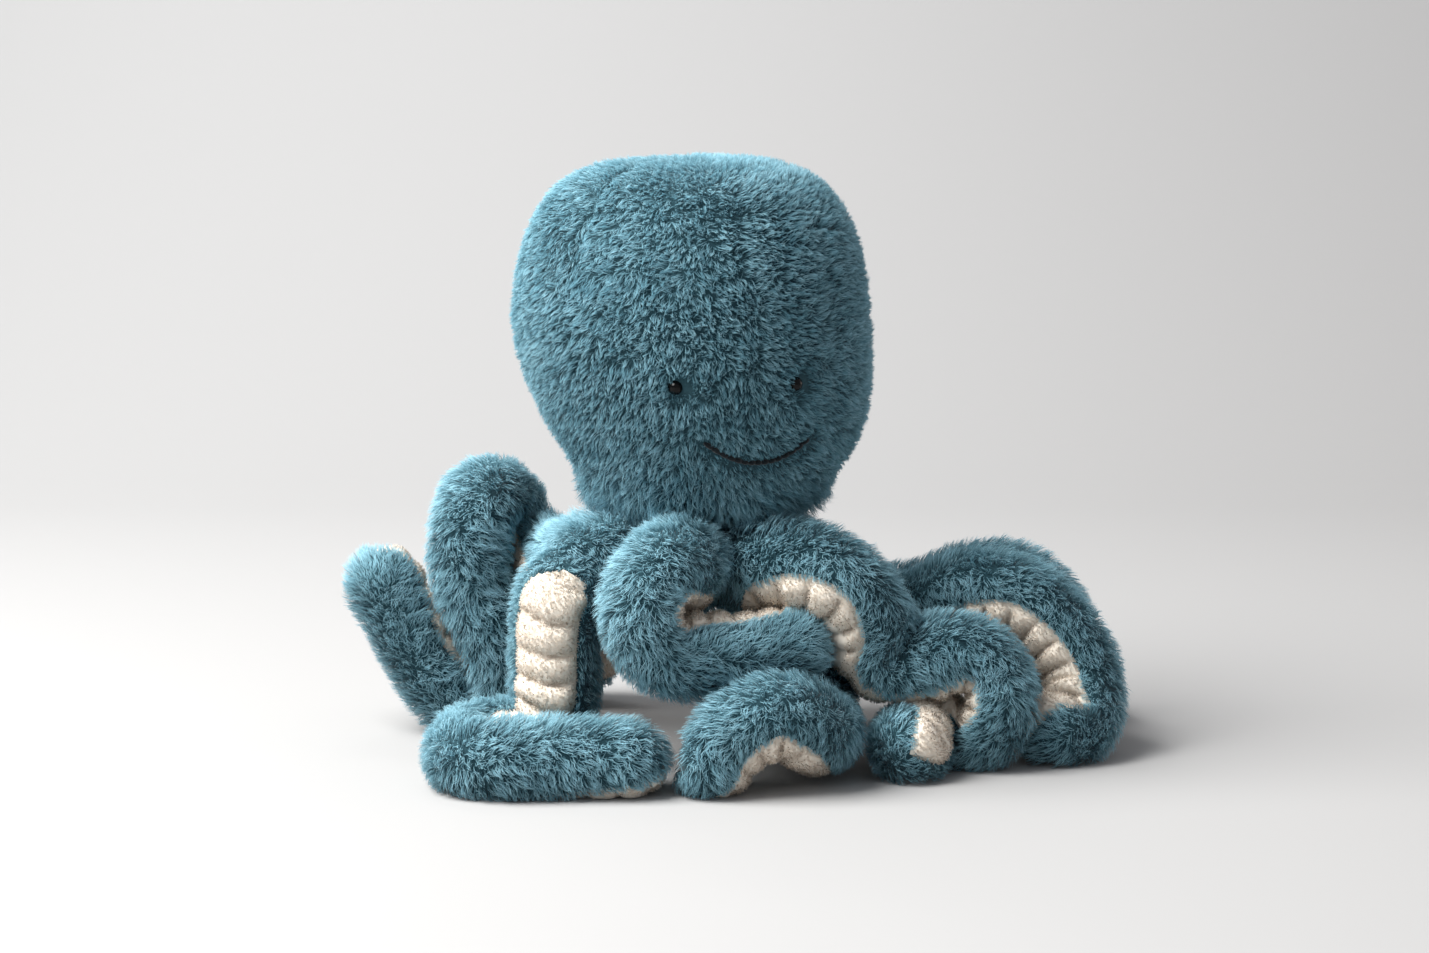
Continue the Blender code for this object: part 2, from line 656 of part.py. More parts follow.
class ArmShape:
    """Centre line, size and directions of one arm at each station along it."""

    def __init__(self, name, index):
        self.bearing = root_bearing(index)
        self.outward = np.array((math.sin(self.bearing), -math.cos(self.bearing), 0.0))
        self.sideways = np.array((math.cos(self.bearing), math.sin(self.bearing), 0.0))
        rows = ROUTE_SHARES[name]
        start = self.outward * (HUB_RADIUS + GAP) + np.array((0.0, 0.0, ROOT_HEIGHT))
        points = [start] + [to_toy(row[:3]) * ROOT_HEIGHT for row in rows]
        bellies = [np.array((0.0, 0.0, -1.0))] + [to_toy(row[3:]) for row in rows]
        self.places, self.bellies = smooth_route(np.array(points), np.array(bellies))
        self.body_stations = len(self.places)
        steps = np.linalg.norm(np.diff(self.places, axis=0), axis=1)
        self.runs = np.concatenate(([0.0], np.cumsum(steps)))
        shares = self.runs / self.runs[-1]
        self.radii = np.interp(shares, (0.0, 0.35, 1.0), (ROOT_RADIUS, MIDDLE_RADIUS, TIP_RADIUS))
        self.tangents = np.gradient(self.places, axis=0)
        self.tangents[0] = self.outward
        self.tangents = np.array([unit(tangent) for tangent in self.tangents])
        self.find_bends(steps)
        self.add_tip()

    def find_bends(self, steps):
        """Direction of each bend, and how far the skin may reach toward its middle."""
        turns = np.diff(self.tangents, axis=0)
        bends = np.vstack((turns[:1], turns[:-1] + turns[1:], turns[-1:]))
        along = np.sum(bends * self.tangents, axis=1)[:, None]
        bends = bends - self.tangents * along
        self.bends = np.array([unit(bend) if np.linalg.norm(bend) > 0 else bend for bend in bends])
        tight = BEND_REACH_SHARE * steps / np.maximum(np.linalg.norm(turns, axis=1), BEND_LEAST_TURN)
        tight = np.concatenate((tight[:1], np.minimum(tight[:-1], tight[1:]), tight[-1:]))
        tight[1:-1] = np.minimum(tight[1:-1], (tight[:-2] + tight[1:-1] + tight[2:]) / 3)
        self.reaches = np.minimum(self.radii, tight)

    def add_tip(self):
        """Round end: more stations past the last place, on a half circle."""
        end = self.places[-1]
        along = self.tangents[-1]
        for share in TIP_STATION_SHARES:
            radius = TIP_RADIUS * math.sqrt(1 - share * share)
            self.places = np.vstack((self.places, end + along * TIP_RADIUS * share))
            self.tangents = np.vstack((self.tangents, along))
            self.bellies = np.vstack((self.bellies, self.bellies[-1]))
            self.radii = np.append(self.radii, radius)
            self.runs = np.append(self.runs, self.runs[self.body_stations - 1] + TIP_RADIUS * share)
            self.bends = np.vstack((self.bends, self.bends[-1]))
            self.reaches = np.append(self.reaches, radius)

    def offset(self, station, angle):
        """Offset across the arm, 1 at the skin: angle 0 is the back, half a turn the gathers."""
        along = self.tangents[station]
        belly = self.bellies[station]
        belly = unit(belly - along * belly.dot(along))
        across = np.cross(along, belly)
        direction = -math.cos(angle) * belly + math.sin(angle) * across
        toward = direction.dot(self.bends[station])
        if toward > 0:
            direction = direction - self.bends[station] * toward * (1 - self.reaches[station] / self.radii[station])
        return self.squeeze(station, direction)

    def squeeze(self, station, direction):
        """Narrows the root to its own share of the circle round the hub."""
        radius = self.radii[station]
        fade = np.clip(1 - (self.runs[station] - ROOT_WEDGE_LENGTH) / ROOT_FADE_LENGTH, 0.0, 1.0)
        side = direction.dot(self.sideways)
        reached = (self.places[station] + direction * radius).dot(self.outward)
        limit = reached * math.tan(ARM_HALF_STEP) - ROOT_SIDE_GAP / 2
        room = limit - math.copysign(1.0, side) * self.places[station].dot(self.sideways)
        share = min(1.0, room / radius)
        return direction - self.sideways * side * (1 - share) * fade

    def point(self, station, angle, depth):
        """Point at a depth under the skin; at the tip the depth shrinks with the radius."""
        radius = self.radii[station]
        kept = min(depth, 0.6 * radius)
        return self.places[station] + self.offset(station, angle) * (radius - kept)


def arm_upper(shape):
    edge = UPPER_HALF_ANGLE
    angles = [edge * share for share in BACK_SHARES]
    rings = []
    for station in range(len(shape.places)):
        ring = [shape.point(station, angle, 0.0) for angle in angles]
        for angle in angles[::-1]:
            depth = SEAM_FOLD if abs(angle) == edge else CLOTH
            ring.append(shape.point(station, angle, depth))
        rings.append(ring)
    return rings


def arm_under(shape):
    """Gathered panel: drawn in and puffed out by turns from station to station."""
    start = UPPER_HALF_ANGLE + EDGE_TURN
    end = math.tau - start
    outer_angles = [start + (end - start) * share for share in UNDER_SHARES]
    rings = []
    last = len(shape.places) - 1
    for station in range(last + 1):
        swell = PUFF_HEIGHT if station % 2 else -PINCH_DEPTH
        swell *= min(1.0, (shape.reaches[station] / MIDDLE_RADIUS) ** 3)
        if station in (0, last):
            swell = 0.0
        ring = []
        for angle in outer_angles:
            edge = angle in (outer_angles[0], outer_angles[-1])
            ring.append(shape.point(station, angle, 0.0 if edge else -swell))
        ring += [shape.point(station, angle, SEAM_FOLD) for angle in (end, math.pi, start)]
        rings.append(ring)
    return rings


def arm_filling(shape):
    edge = UPPER_HALF_ANGLE
    rings = []
    for station in range(len(shape.places)):
        ring = []
        for angle in [edge * share for share in BACK_SHARES] + [math.pi]:
            depth = CLOTH if abs(angle) < edge else SEAM_FOLD
            inner = min(depth, 0.6 * shape.radii[station])
            kept = (shape.radii[station] - inner) * (1 - CORE_GAP / MIDDLE_RADIUS) - CORE_GAP / 2
            ring.append(shape.places[station] + shape.offset(station, angle) * kept)
        rings.append(ring)
    return rings


def cut_flat(item):
    """Takes off what would lie below the floor, so the arm rests on small flats."""
    work = bmesh.new()
    work.from_mesh(item.data)
    floor = Vector((0.0, 0.0, -item.parent.location.z))
    everything = work.verts[:] + work.edges[:] + work.faces[:]
    result = bmesh.ops.bisect_plane(work, geom=everything, plane_co=floor, plane_no=(0, 0, -1), clear_outer=True)
    rim = [edge for edge in result["geom_cut"] if isinstance(edge, bmesh.types.BMEdge)]
    if rim:
        bmesh.ops.holes_fill(work, edges=rim)
    bmesh.ops.recalc_face_normals(work, faces=work.faces[:])
    work.to_mesh(item.data)
    work.free()


def build_arm(name, index, materials):
    shape = ArmShape(name, index)
    pivot = shape.outward * (HUB_RADIUS + GAP) + np.array((0.0, 0.0, ROOT_HEIGHT + ROOT_RADIUS))
    carrier = add_carrier(f"arm_{name}_joint", pivot)
    sides = len(BACK_SHARES)
    vertices, faces = loft(arm_upper(shape), range(sides, 2 * sides))
    cut_flat(add_object(f"arm_{name}_upper", vertices, faces, materials["pile"], carrier))
    sides = len(UNDER_SHARES)
    vertices, faces = loft(arm_under(shape), range(sides, 2 * sides))
    cut_flat(add_object(f"arm_{name}_under", vertices, faces, materials["short_pile"], carrier))
    vertices, faces = loft(arm_filling(shape))
    add_object(f"arm_{name}_filling", vertices, faces, materials["filling"], carrier)


def centre_on_footprint():
    """Moves the toy, laid out round the hub's axis, to stand with its footprint's middle on the origin."""
    right, away = FOOTPRINT_MIDDLE_SHARES
    for item in bpy.data.objects:
        if item.parent is None:
            item.location.x -= ROOT_HEIGHT * right
            item.location.y -= ROOT_HEIGHT * away


def build():
    clear_scene()
    materials = {
        "pile": make_material("blue_long_pile", (0.105, 0.225, 0.305), 0.90),
        "short_pile": make_material("cream_short_pile", (0.84, 0.74, 0.61), 0.92),
        "filling": make_material("white_filling", (0.80, 0.79, 0.76), 0.95),
        "eye": make_material("black_bead", (0.008, 0.007, 0.007), 0.08),
        "washer": make_material("white_washer", (0.75, 0.75, 0.73), 0.45),
        "thread": make_material("dark_thread", (0.020, 0.030, 0.040), 0.80),
    }
    build_hub(materials)
    build_head(materials)
    for index, name in enumerate(ARM_NAMES):
        build_arm(name, index, materials)
    centre_on_footprint()


build()
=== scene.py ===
# %% [markdown]
# # A plush octopus in long blue pile
#
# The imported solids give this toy's stuffed forms, its joints and its size. This lesson sews
# the cloth over them, grows the pile strand by strand, sets the bead eyes, stitches the smile
# and lights the toy as a small studio would. Each step says what the real thing is, then how
# it is made here.

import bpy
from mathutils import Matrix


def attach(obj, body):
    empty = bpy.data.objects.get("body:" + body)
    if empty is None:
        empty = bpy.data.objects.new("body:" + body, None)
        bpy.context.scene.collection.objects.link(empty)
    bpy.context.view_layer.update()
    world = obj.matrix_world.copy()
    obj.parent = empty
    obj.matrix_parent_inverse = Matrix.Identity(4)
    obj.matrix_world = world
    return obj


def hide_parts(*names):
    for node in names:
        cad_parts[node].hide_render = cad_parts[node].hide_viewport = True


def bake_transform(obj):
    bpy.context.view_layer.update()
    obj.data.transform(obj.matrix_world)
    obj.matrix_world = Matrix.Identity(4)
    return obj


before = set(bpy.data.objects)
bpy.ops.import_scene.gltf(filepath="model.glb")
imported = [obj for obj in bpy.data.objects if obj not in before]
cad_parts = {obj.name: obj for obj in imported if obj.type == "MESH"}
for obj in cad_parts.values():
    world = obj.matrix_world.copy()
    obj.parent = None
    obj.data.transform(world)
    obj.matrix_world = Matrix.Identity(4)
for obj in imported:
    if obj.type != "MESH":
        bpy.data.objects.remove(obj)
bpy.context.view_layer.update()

# %% Tools for the lesson
import math

import bpy
import numpy as np
from mathutils import Vector
from mathutils.kdtree import KDTree

MM = 0.001
UP = np.array((0.0, 0.0, 1.0))

# The frame's origin is the middle of the footprint. Everything here is laid out round the
# hub's axis instead, and build_mesh moves it by this much.
HUB_PLACE = np.array((-37.387 * MM, -12.673 * MM, 0.0))


def unit(vectors):
    """Vectors of length one, for one vector or for rows of them."""
    lengths = np.linalg.norm(vectors, axis=-1, keepdims=True)
    return vectors / np.maximum(lengths, 1e-12)


# %% [markdown]
# ## Camera
#
# A studio photographs a toy like this from its own height with a long lens, so that the head
# doesn't swell. Here an 85 mm lens stands 1.7 m away, 16 degrees to the toy's right of its
# face and 8 degrees above the floor, which gives the photograph's outline. Sizes that belong
# to the camera's frame, such as the lamps' places, go through from_camera.

# %% Set the camera
VIEW_TURN = math.radians(-16)
VIEW_RISE = math.radians(8)
VIEW_DISTANCE = 1.69
LENS = 85
SENSOR = 36
AIM_ASIDE = 12 * MM
AIM_HEIGHT = 139.1 * MM


def from_camera(side, away, rise):
    """Vector that goes to the right of the camera, away from it and up."""
    return np.array((
        side * math.cos(VIEW_TURN) - away * math.sin(VIEW_TURN),
        side * math.sin(VIEW_TURN) + away * math.cos(VIEW_TURN),
        rise,
    ))


aim = Vector(from_camera(AIM_ASIDE, 0, AIM_HEIGHT)) + Vector(HUB_PLACE)
back = Vector(from_camera(0, -math.cos(VIEW_RISE), math.sin(VIEW_RISE)))
camera = bpy.data.objects.new("camera", bpy.data.cameras.new("camera"))
camera.data.lens = LENS
camera.data.sensor_width = SENSOR
camera.data.clip_end = 20
camera.location = aim + back * VIEW_DISTANCE
camera.rotation_euler = back.to_track_quat("Z", "Y").to_euler()
bpy.context.collection.objects.link(camera)
bpy.context.scene.camera = camera
print("camera at", [round(value, 3) for value in camera.location])

# %% [markdown]
# ## Floor and light
#
# The toy lies on a pale sheet that curves up behind it. One sheet, bent along its back edge,
# gives the horizon no line. A big soft lamp high on the left models the pile, a weak one
# fills from the front, and a warm one low on the right stands for the light that a room's wall
# throws back. A fourth lights the paper behind the toy, and the sky is a plain light grey.

# %% Make the sweep of pale paper
SWEEP_HALF_WIDTH = 3.2
SWEEP_FRONT = -2.2
SWEEP_FLAT = 0.8
SWEEP_BEND = 1.15
SWEEP_TOP = 2.8
SWEEP_STEPS = 16


def make_sweep():
    """Floor that runs back and then curves up, as one smooth sheet."""
    rows = [(SWEEP_FRONT, 0.0), (SWEEP_FLAT, 0.0)]
    for step in range(1, SWEEP_STEPS + 1):
        angle = math.pi / 2 * step / SWEEP_STEPS
        away = SWEEP_FLAT + SWEEP_BEND * math.sin(angle)
        rows.append((away, SWEEP_BEND * (1 - math.cos(angle))))
    rows.append((SWEEP_FLAT + SWEEP_BEND, SWEEP_TOP))
    vertices = [
        from_camera(side, away, height)
        for away, height in rows
        for side in (-SWEEP_HALF_WIDTH, SWEEP_HALF_WIDTH)
    ]
    faces = [(2 * row, 2 * row + 1, 2 * row + 3, 2 * row + 2) for row in range(len(rows) - 1)]
    mesh = bpy.data.meshes.new("paper_sweep")
    mesh.from_pydata(vertices, [], faces)
    mesh.shade_smooth()
    sweep = bpy.data.objects.new("paper_sweep", mesh)
    bpy.context.collection.objects.link(sweep)
    return sweep


def plain_material(name, colour, roughness, specular):
    """Material of one colour."""
    material = bpy.data.materials.new(name)
    material.use_nodes = True
    shader = material.node_tree.nodes["Principled BSDF"]
    shader.inputs["Base Color"].default_value = (*colour, 1)
    shader.inputs["Roughness"].default_value = roughness
    shader.inputs["Specular IOR Level"].default_value = specular
    return material


sweep = make_sweep()
sweep.data.materials.append(plain_material("pale_paper", (0.335, 0.335, 0.335), 0.9, 0.1))
print("sweep faces", len(sweep.data.polygons))

# %% Hang the lamps
TOY_MIDDLE = (0, 0, 0.12)
WALL_BEHIND = (0.10, 1.9, 0.35)


def add_lamp(name, toward, distance, size, watts, colour, target):
    """Square soft lamp that looks at a target from a direction in the camera's frame."""
    direction = Vector(from_camera(*toward)).normalized()
    light = bpy.data.lights.new(name, "AREA")
    light.shape = "SQUARE"
    light.size = size
    light.energy = watts
    light.color = colour
    lamp = bpy.data.objects.new(name, light)
    lamp.location = Vector(HUB_PLACE) + Vector(from_camera(*target)) + direction * distance
    lamp.rotation_euler = direction.to_track_quat("Z", "Y").to_euler()
    bpy.context.collection.objects.link(lamp)


# Each has its direction, its distance and size in metres, its power in watts and its colour
add_lamp("key_softbox", (-0.80, -0.36, 1.05), 1.8, 1.4, 112, (1.0, 0.985, 0.965), TOY_MIDDLE)
add_lamp("front_fill", (-0.55, -1.0, 0.60), 2.2, 0.7, 5, (1.0, 1.0, 1.0), TOY_MIDDLE)
add_lamp("warm_bounce", (1.0, 0.35, 0.25), 2.0, 1.2, 6, (1.0, 0.84, 0.76), TOY_MIDDLE)
add_lamp("wall_wash", (-0.45, -0.80, 0.90), 1.5, 1.0, 12, (1.0, 1.0, 1.0), WALL_BEHIND)
sky = bpy.data.worlds.new("studio")
sky.use_nodes = True
sky.node_tree.nodes["Background"].inputs["Color"].default_value = (0.92, 0.94, 1.0, 1)
sky.node_tree.nodes["Background"].inputs["Strength"].default_value = 0.46
bpy.context.scene.world = sky
bpy.context.scene.view_settings.view_transform = "Standard"

# %% [markdown]
# ## Where the arms lie
#
# Eight arms are sewn round the hub, and each lies in its own curls. A route holds the middle
# of the arm as the camera sees it, right, away and up, in shares of the height of its root,
# and then the way that its gathered side faces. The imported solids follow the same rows, so
# cloth and pile end up where MuJoCo's shapes are.

# %% Write down the routes
ROOT_HEIGHT = 0.100
LYING_SHARE = 0.160
ROUTE_SHARES = {
    "front_left": (
        (-0.06, -0.46, 1.01, 0.0, 0.2, -1.0),
        (-0.05, -0.66, 1.05, 0.1, 0.6, -0.9),
        (-0.15, -0.82, 1.02, 0.8, 0.5, -0.5),
        (-0.21, -0.88, 0.85, 1.0, 0.4, 0.0),
        (-0.11, -0.84, 0.67, 0.6, 0.4, 0.8),
        (0.12, -0.76, 0.63, 0.0, 0.5, 1.0),
        (0.36, -0.69, 0.64, -0.1, 0.6, 0.9),
        (0.47, -0.64, 0.65, -0.2, 0.7, 0.8),
    ),
    "front_right": (
        (0.33, -0.38, 1.00, -0.1, 0.0, -1.0),
        (0.52, -0.50, 1.02, -0.2, -0.5, -0.9),
        (0.73, -0.55, 0.94, -0.6, -0.6, -0.6),
        (0.87, -0.52, 0.76, -0.9, -0.4, -0.3),
        (0.91, -0.47, 0.58, -0.6, 0.2, -0.7),
        (1.06, -0.45, 0.53, -0.1, 0.3, -1.0),
        (1.27, -0.44, 0.57, 0.0, 0.1, -1.0),
        (1.43, -0.44, 0.51, -0.6, -0.1, -0.8),
        (1.50, -0.46, 0.34, -1.0, 0.0, -0.1),
        (1.43, -0.42, 0.19, -0.5, 0.1, 0.9),
        (1.30, -0.36, LYING_SHARE, -0.1, 0.2, 0.9),
        (1.17, -0.40, LYING_SHARE, 0.3, 0.2, 0.9),
        (1.10, -0.52, LYING_SHARE, 0.6, 0.1, 0.8),
        (1.08, -0.67, LYING_SHARE, 0.9, 0.0, 0.5),
    ),
    "right_front": (
        (0.46, -0.05, 0.96, 0.0, 0.1, -1.0),
        (0.60, -0.06, 0.86, -0.4, 0.1, -1.0),
        (0.66, -0.12, 0.64, -1.0, 0.0, -0.3),
        (0.61, -0.26, 0.42, -0.9, 0.2, -0.7),
        (0.60, -0.48, 0.26, -0.7, 0.1, -1.0),
        (0.62, -0.71, 0.23, -0.6, 0.0, -1.0),
        (0.57, -0.91, 0.31, -0.3, -0.1, -1.0),
        (0.41, -1.00, 0.38, -0.1, -0.4, -1.0),
        (0.23, -1.02, 0.30, 0.4, -0.1, -0.8),
        (0.12, -1.00, LYING_SHARE, 0.8, 0.1, -0.5),
    ),
    "right_back": (
        (0.35, 0.31, 0.96, 0.0, 0.0, -1.0),
        (0.56, 0.38, 0.86, -0.2, -0.2, -1.0),
        (0.84, 0.30, 0.68, 0.0, -0.3, -1.0),
        (1.12, 0.14, 0.66, 0.1, -0.4, -1.0),
        (1.40, 0.06, 0.79, 0.0, -0.5, -1.0),
        (1.66, 0.01, 0.76, -0.5, -0.6, -0.8),
        (1.86, -0.02, 0.58, -0.9, -0.6, -0.3),
        (1.96, -0.06, 0.38, -1.0, -0.5, 0.1),
        (1.94, -0.20, 0.19, -0.5, 0.2, 0.9),
        (1.82, -0.30, LYING_SHARE, -0.5, 0.1, 0.9),
    ),
    "back_right": (
        (0.05, 0.47, 0.94, 0.0, 0.0, -1.0),
        (0.18, 0.66, 0.86, 0.0, 0.0, -1.0),
        (0.46, 0.78, 0.72, 0.0, 0.0, -1.0),
        (0.84, 0.74, 0.60, 0.0, 0.0, -1.0),
        (1.18, 0.62, 0.63, 0.0, 0.0, -1.0),
        (1.46, 0.50, 0.76, 0.0, 0.0, -1.0),
        (1.70, 0.47, 0.75, -0.5, 0.0, -0.8),
        (1.86, 0.48, 0.58, -1.0, 0.1, -0.3),
        (1.91, 0.55, 0.35, -1.0, 0.2, 0.1),
        (1.96, 0.72, 0.20, -0.6, 0.2, 0.8),
        (1.98, 0.88, LYING_SHARE, -0.6, 0.0, 0.8),
    ),
    "back_left": (
        (-0.27, 0.37, 0.94, 0.0, 0.0, -1.0),
        (-0.33, 0.62, 0.86, 0.2, -0.2, -1.0),
        (-0.40, 0.84, 0.70, 0.5, -0.6, -0.6),
        (-0.47, 1.00, 0.48, 0.6, -0.8, -0.3),
        (-0.59, 1.10, 0.27, 0.5, -0.8, 0.2),
        (-0.84, 1.12, LYING_SHARE, 0.0, -0.6, 0.8),
        (-1.06, 1.08, LYING_SHARE, 0.0, -0.6, 0.8),
        (-1.22, 0.94, LYING_SHARE, 0.3, -0.6, 0.8),
    ),
    "left_back": (
        (-0.47, 0.05, 0.95, -0.2, -0.1, -1.0),
        (-0.60, 0.23, 0.90, -0.5, -0.35, -0.8),
        (-0.71, 0.46, 0.87, -0.75, -0.56, -0.35),
        (-0.85, 0.67, 0.92, -0.8, -0.6, 0.0),
        (-0.95, 0.73, 1.05, -0.6, -0.8, 0.0),
        (-1.01, 0.63, 1.17, -0.35, -0.6, -0.5),
        (-1.07, 0.47, 1.19, 0.0, 0.0, -1.0),
        (-1.11, 0.35, 1.10, 0.4, 0.7, -0.5),
        (-1.13, 0.33, 0.92, 0.5, 0.9, 0.0),
        (-1.09, 0.34, 0.74, 0.5, 0.9, 0.0),
        (-1.01, 0.34, 0.57, 0.4, 0.9, 0.1),
        (-0.965, 0.37, 0.39, 0.3, 0.95, 0.1),
        (-1.01, 0.41, 0.235, 0.2, 0.9, 0.3),
        (-1.13, 0.43, 0.165, 0.15, 0.75, 0.6),
        (-1.26, 0.43, 0.225, 0.3, 0.4, 0.85),
        (-1.37, 0.43, 0.38, 0.75, 0.2, 0.6),
        (-1.47, 0.43, 0.57, 0.9, 0.4, 0.4),
        (-1.57, 0.43, 0.77, 0.7, 0.7, 0.3),
    ),
    "left_front": (
        (-0.34, -0.30, 0.99, 0.0, -0.3, -1.0),
        (-0.47, -0.42, 1.01, -0.2, -0.7, -0.7),
        (-0.59, -0.52, 0.93, -0.3, -1.0, -0.3),
        (-0.65, -0.57, 0.78, -0.3, -1.0, 0.0),
        (-0.66, -0.57, 0.53, -0.3, -1.0, 0.0),
        (-0.67, -0.57, 0.38, -0.3, -1.0, 0.1),
        (-0.76, -0.57, 0.23, -0.2, -1.0, 0.2),
        (-0.93, -0.60, 0.17, -0.1, -1.0, 0.2),
        (-1.05, -0.70, LYING_SHARE, 0.8, -0.7, 0.0),
        (-1.04, -0.93, LYING_SHARE, 0.9, 0.4, -0.3),
        (-0.88, -1.01, LYING_SHARE, 0.0, 0.8, -0.7),
        (-0.58, -1.00, LYING_SHARE, 0.0, 0.3, -1.0),
        (-0.30, -1.00, LYING_SHARE, 0.0, 0.0, -1.0),
    ),
}
print("arms:", ", ".join(ROUTE_SHARES))

# %% Bend a smooth line through each route
HUB_RADIUS = 0.029
GAP = 0.0003
ROOT_RADIUS = 0.0205
MIDDLE_RADIUS = 0.0188
TIP_RADIUS = 0.0172
STATION_PACE = 0.0195
BEND_CROWDING = 0.020
BEND_REACH_SHARE = 0.75
BEND_LEAST_TURN = 0.02
ROOT_WEDGE_RUN = 0.030
ROOT_FADE_RUN = 0.026
ROOT_SIDE_GAP = 0.0012
ARM_HALF_STEP = math.pi / 8
UPPER_HALF_ANGLE = math.radians(125)
ROUTE_STEPS = 16
MIDDLE_SHARE = 0.35


def through(rows, counts):
    """Smooth rows through the given ones, a count of steps for each span."""
    full = np.concatenate((rows[:1] * 2 - rows[1:2], rows, rows[-1:] * 2 - rows[-2:-1]))
    made = []
    for span, count in enumerate(counts):
        a, b, c, d = full[span:span + 4]
        for t in np.arange(count) / count:
            made.append(0.5 * (2 * b + (c - a) * t + (2 * a - 5 * b + 4 * c - d) * t * t
                               + (3 * b - 3 * c + d - a) * t ** 3))
    made.append(rows[-1])
    return np.array(made)


def smooth_route(points, bellies):
    """Places on a smooth curve through the points, closer in the bends, with their bellies."""
    spans = len(points) - 1
    fine = through(points, [ROUTE_STEPS] * spans)
    shares = np.arange(spans * ROUTE_STEPS + 1) / ROUTE_STEPS
    mixed = np.array([np.interp(shares, np.arange(spans + 1), column) for column in bellies.T]).T
    pieces = np.diff(fine, axis=0)
    lengths = np.linalg.norm(pieces, axis=1)
    headings = pieces / lengths[:, None]
    turning = np.concatenate(([0.0], np.linalg.norm(np.diff(headings, axis=0), axis=1)))
    pace = np.concatenate(([0.0], np.cumsum(lengths + BEND_CROWDING * turning)))
    wanted = np.linspace(0.0, pace[-1], 1 + round(pace[-1] / STATION_PACE))
    places = np.array([np.interp(wanted, pace, fine[:, axis]) for axis in range(3)]).T
    sides = np.array([np.interp(wanted, pace, mixed[:, axis]) for axis in range(3)]).T
    return places, sides


class Arm:
    """Middle line, radii and directions of one arm at the stations of its solids."""

    def __init__(self, name, index):
        """Follow the route of the arm that is sewn on at this place round the hub."""
        self.name = name
        bearing = (index - 0.5) * 2 * ARM_HALF_STEP
        self.outward = np.array((math.sin(bearing), -math.cos(bearing), 0.0))
        self.sideways = np.array((math.cos(bearing), math.sin(bearing), 0.0))
        rows = ROUTE_SHARES[name]
        start = self.outward * (HUB_RADIUS + GAP) + UP * ROOT_HEIGHT
        points = [start] + [from_camera(*row[:3]) * ROOT_HEIGHT for row in rows]
        bellies = [-UP] + [from_camera(*row[3:]) for row in rows]
        self.places, self.bellies = smooth_route(np.array(points), np.array(bellies))
        steps = np.linalg.norm(np.diff(self.places, axis=0), axis=1)
        self.runs = np.concatenate(([0.0], np.cumsum(steps)))
        shares = self.runs / self.runs[-1]
        self.radii = np.interp(shares, (0.0, MIDDLE_SHARE, 1.0),
                               (ROOT_RADIUS, MIDDLE_RADIUS, TIP_RADIUS))
        tangents = np.gradient(self.places, axis=0)
        tangents[0] = self.outward
        self.tangents = unit(tangents)
        turns = np.diff(self.tangents, axis=0)
        bends = np.vstack((turns[:1], turns[:-1] + turns[1:], turns[-1:]))
        bends = bends - self.tangents * np.sum(bends * self.tangents, axis=1)[:, None]
        self.bends = unit(bends)
        turning = np.maximum(np.linalg.norm(turns, axis=1), BEND_LEAST_TURN)
        tight = BEND_REACH_SHARE * steps / turning
        tight = np.concatenate((tight[:1], np.minimum(tight[:-1], tight[1:]), tight[-1:]))
        tight[1:-1] = np.minimum(tight[1:-1], (tight[:-2] + tight[1:-1] + tight[2:]) / 3)
        self.reaches = np.minimum(self.radii, tight)

    def offset(self, station, angle):
        """Offset across the arm, 1 at the cloth: angle 0 is the back, half a turn the gathers."""
        along = self.tangents[station]
        belly = self.bellies[station]
        belly = unit(belly - along * belly.dot(along))
        direction = -math.cos(angle) * belly + math.sin(angle) * np.cross(along, belly)
        radius = self.radii[station]
        bend = self.bends[station]
        toward = direction.dot(bend)
        if toward > 0:
            direction = direction - bend * toward * (1 - self.reaches[station] / radius)
        fade = np.clip(1 - (self.runs[station] - ROOT_WEDGE_RUN) / ROOT_FADE_RUN, 0.0, 1.0)
        side = direction.dot(self.sideways)
        reached = (self.places[station] + direction * radius).dot(self.outward)
        limit = reached * math.tan(ARM_HALF_STEP) - ROOT_SIDE_GAP / 2
        room = limit - math.copysign(1.0, side) * self.places[station].dot(self.sideways)
        return direction - self.sideways * side * (1 - min(1.0, room / radius)) * fade


arms = {name: Arm(name, index) for index, name in enumerate(ROUTE_SHARES)}
for name, arm in arms.items():
    print(f"{name}: {arm.runs[-1] + TIP_RADIUS:.3f} m long")

# %% [markdown]
# ## Cloth of the arms
#
# An arm is two strips of cloth. The long-pile strip wraps the back and both sides, and a
# narrower short-pile strip closes the belly. That second strip is cut too long and gathered
# with a thread, so it puffs into round ribs with sharp creases between. Each arm's skin is
# one tube laid smoothly through the rings of its solid, with the ribs pushed out of it.

# %% Lay smooth skins through the rings of the solids
SKIN_STEP = 1.5 * MM
SKIN_COLUMNS = 64
RIB_PITCH = 14 * MM
RIB_HEIGHT = 6.0 * MM
RIB_SINK = 0.55 * RIB_HEIGHT
RIB_FLATNESS = 0.30
RIB_WAVE = 0.10
RIB_EDGE_SHARE = 0.4
RIB_COUNT = 60
SEAM_DEPTH = 1.4 * MM
SEAM_HALF_ANGLE = 0.07
TIP_ROWS = 12
TIP_FADE = 14 * MM
TIP_FADE_END = 8 * MM
FLOOR_CLEARANCE = 0.3 * MM
# The gathers start past the root, with a round end. On one arm they start past its bend.
CREAM_START = 18 * MM
CREAM_ROUNDING = 11 * MM
CREAM_STARTS = {"left_front": 52 * MM}


def ease(values):
    """Smooth step from 0 to 1."""
    clipped = np.clip(values, 0.0, 1.0)
    return clipped * clipped * (3 - 2 * clipped)


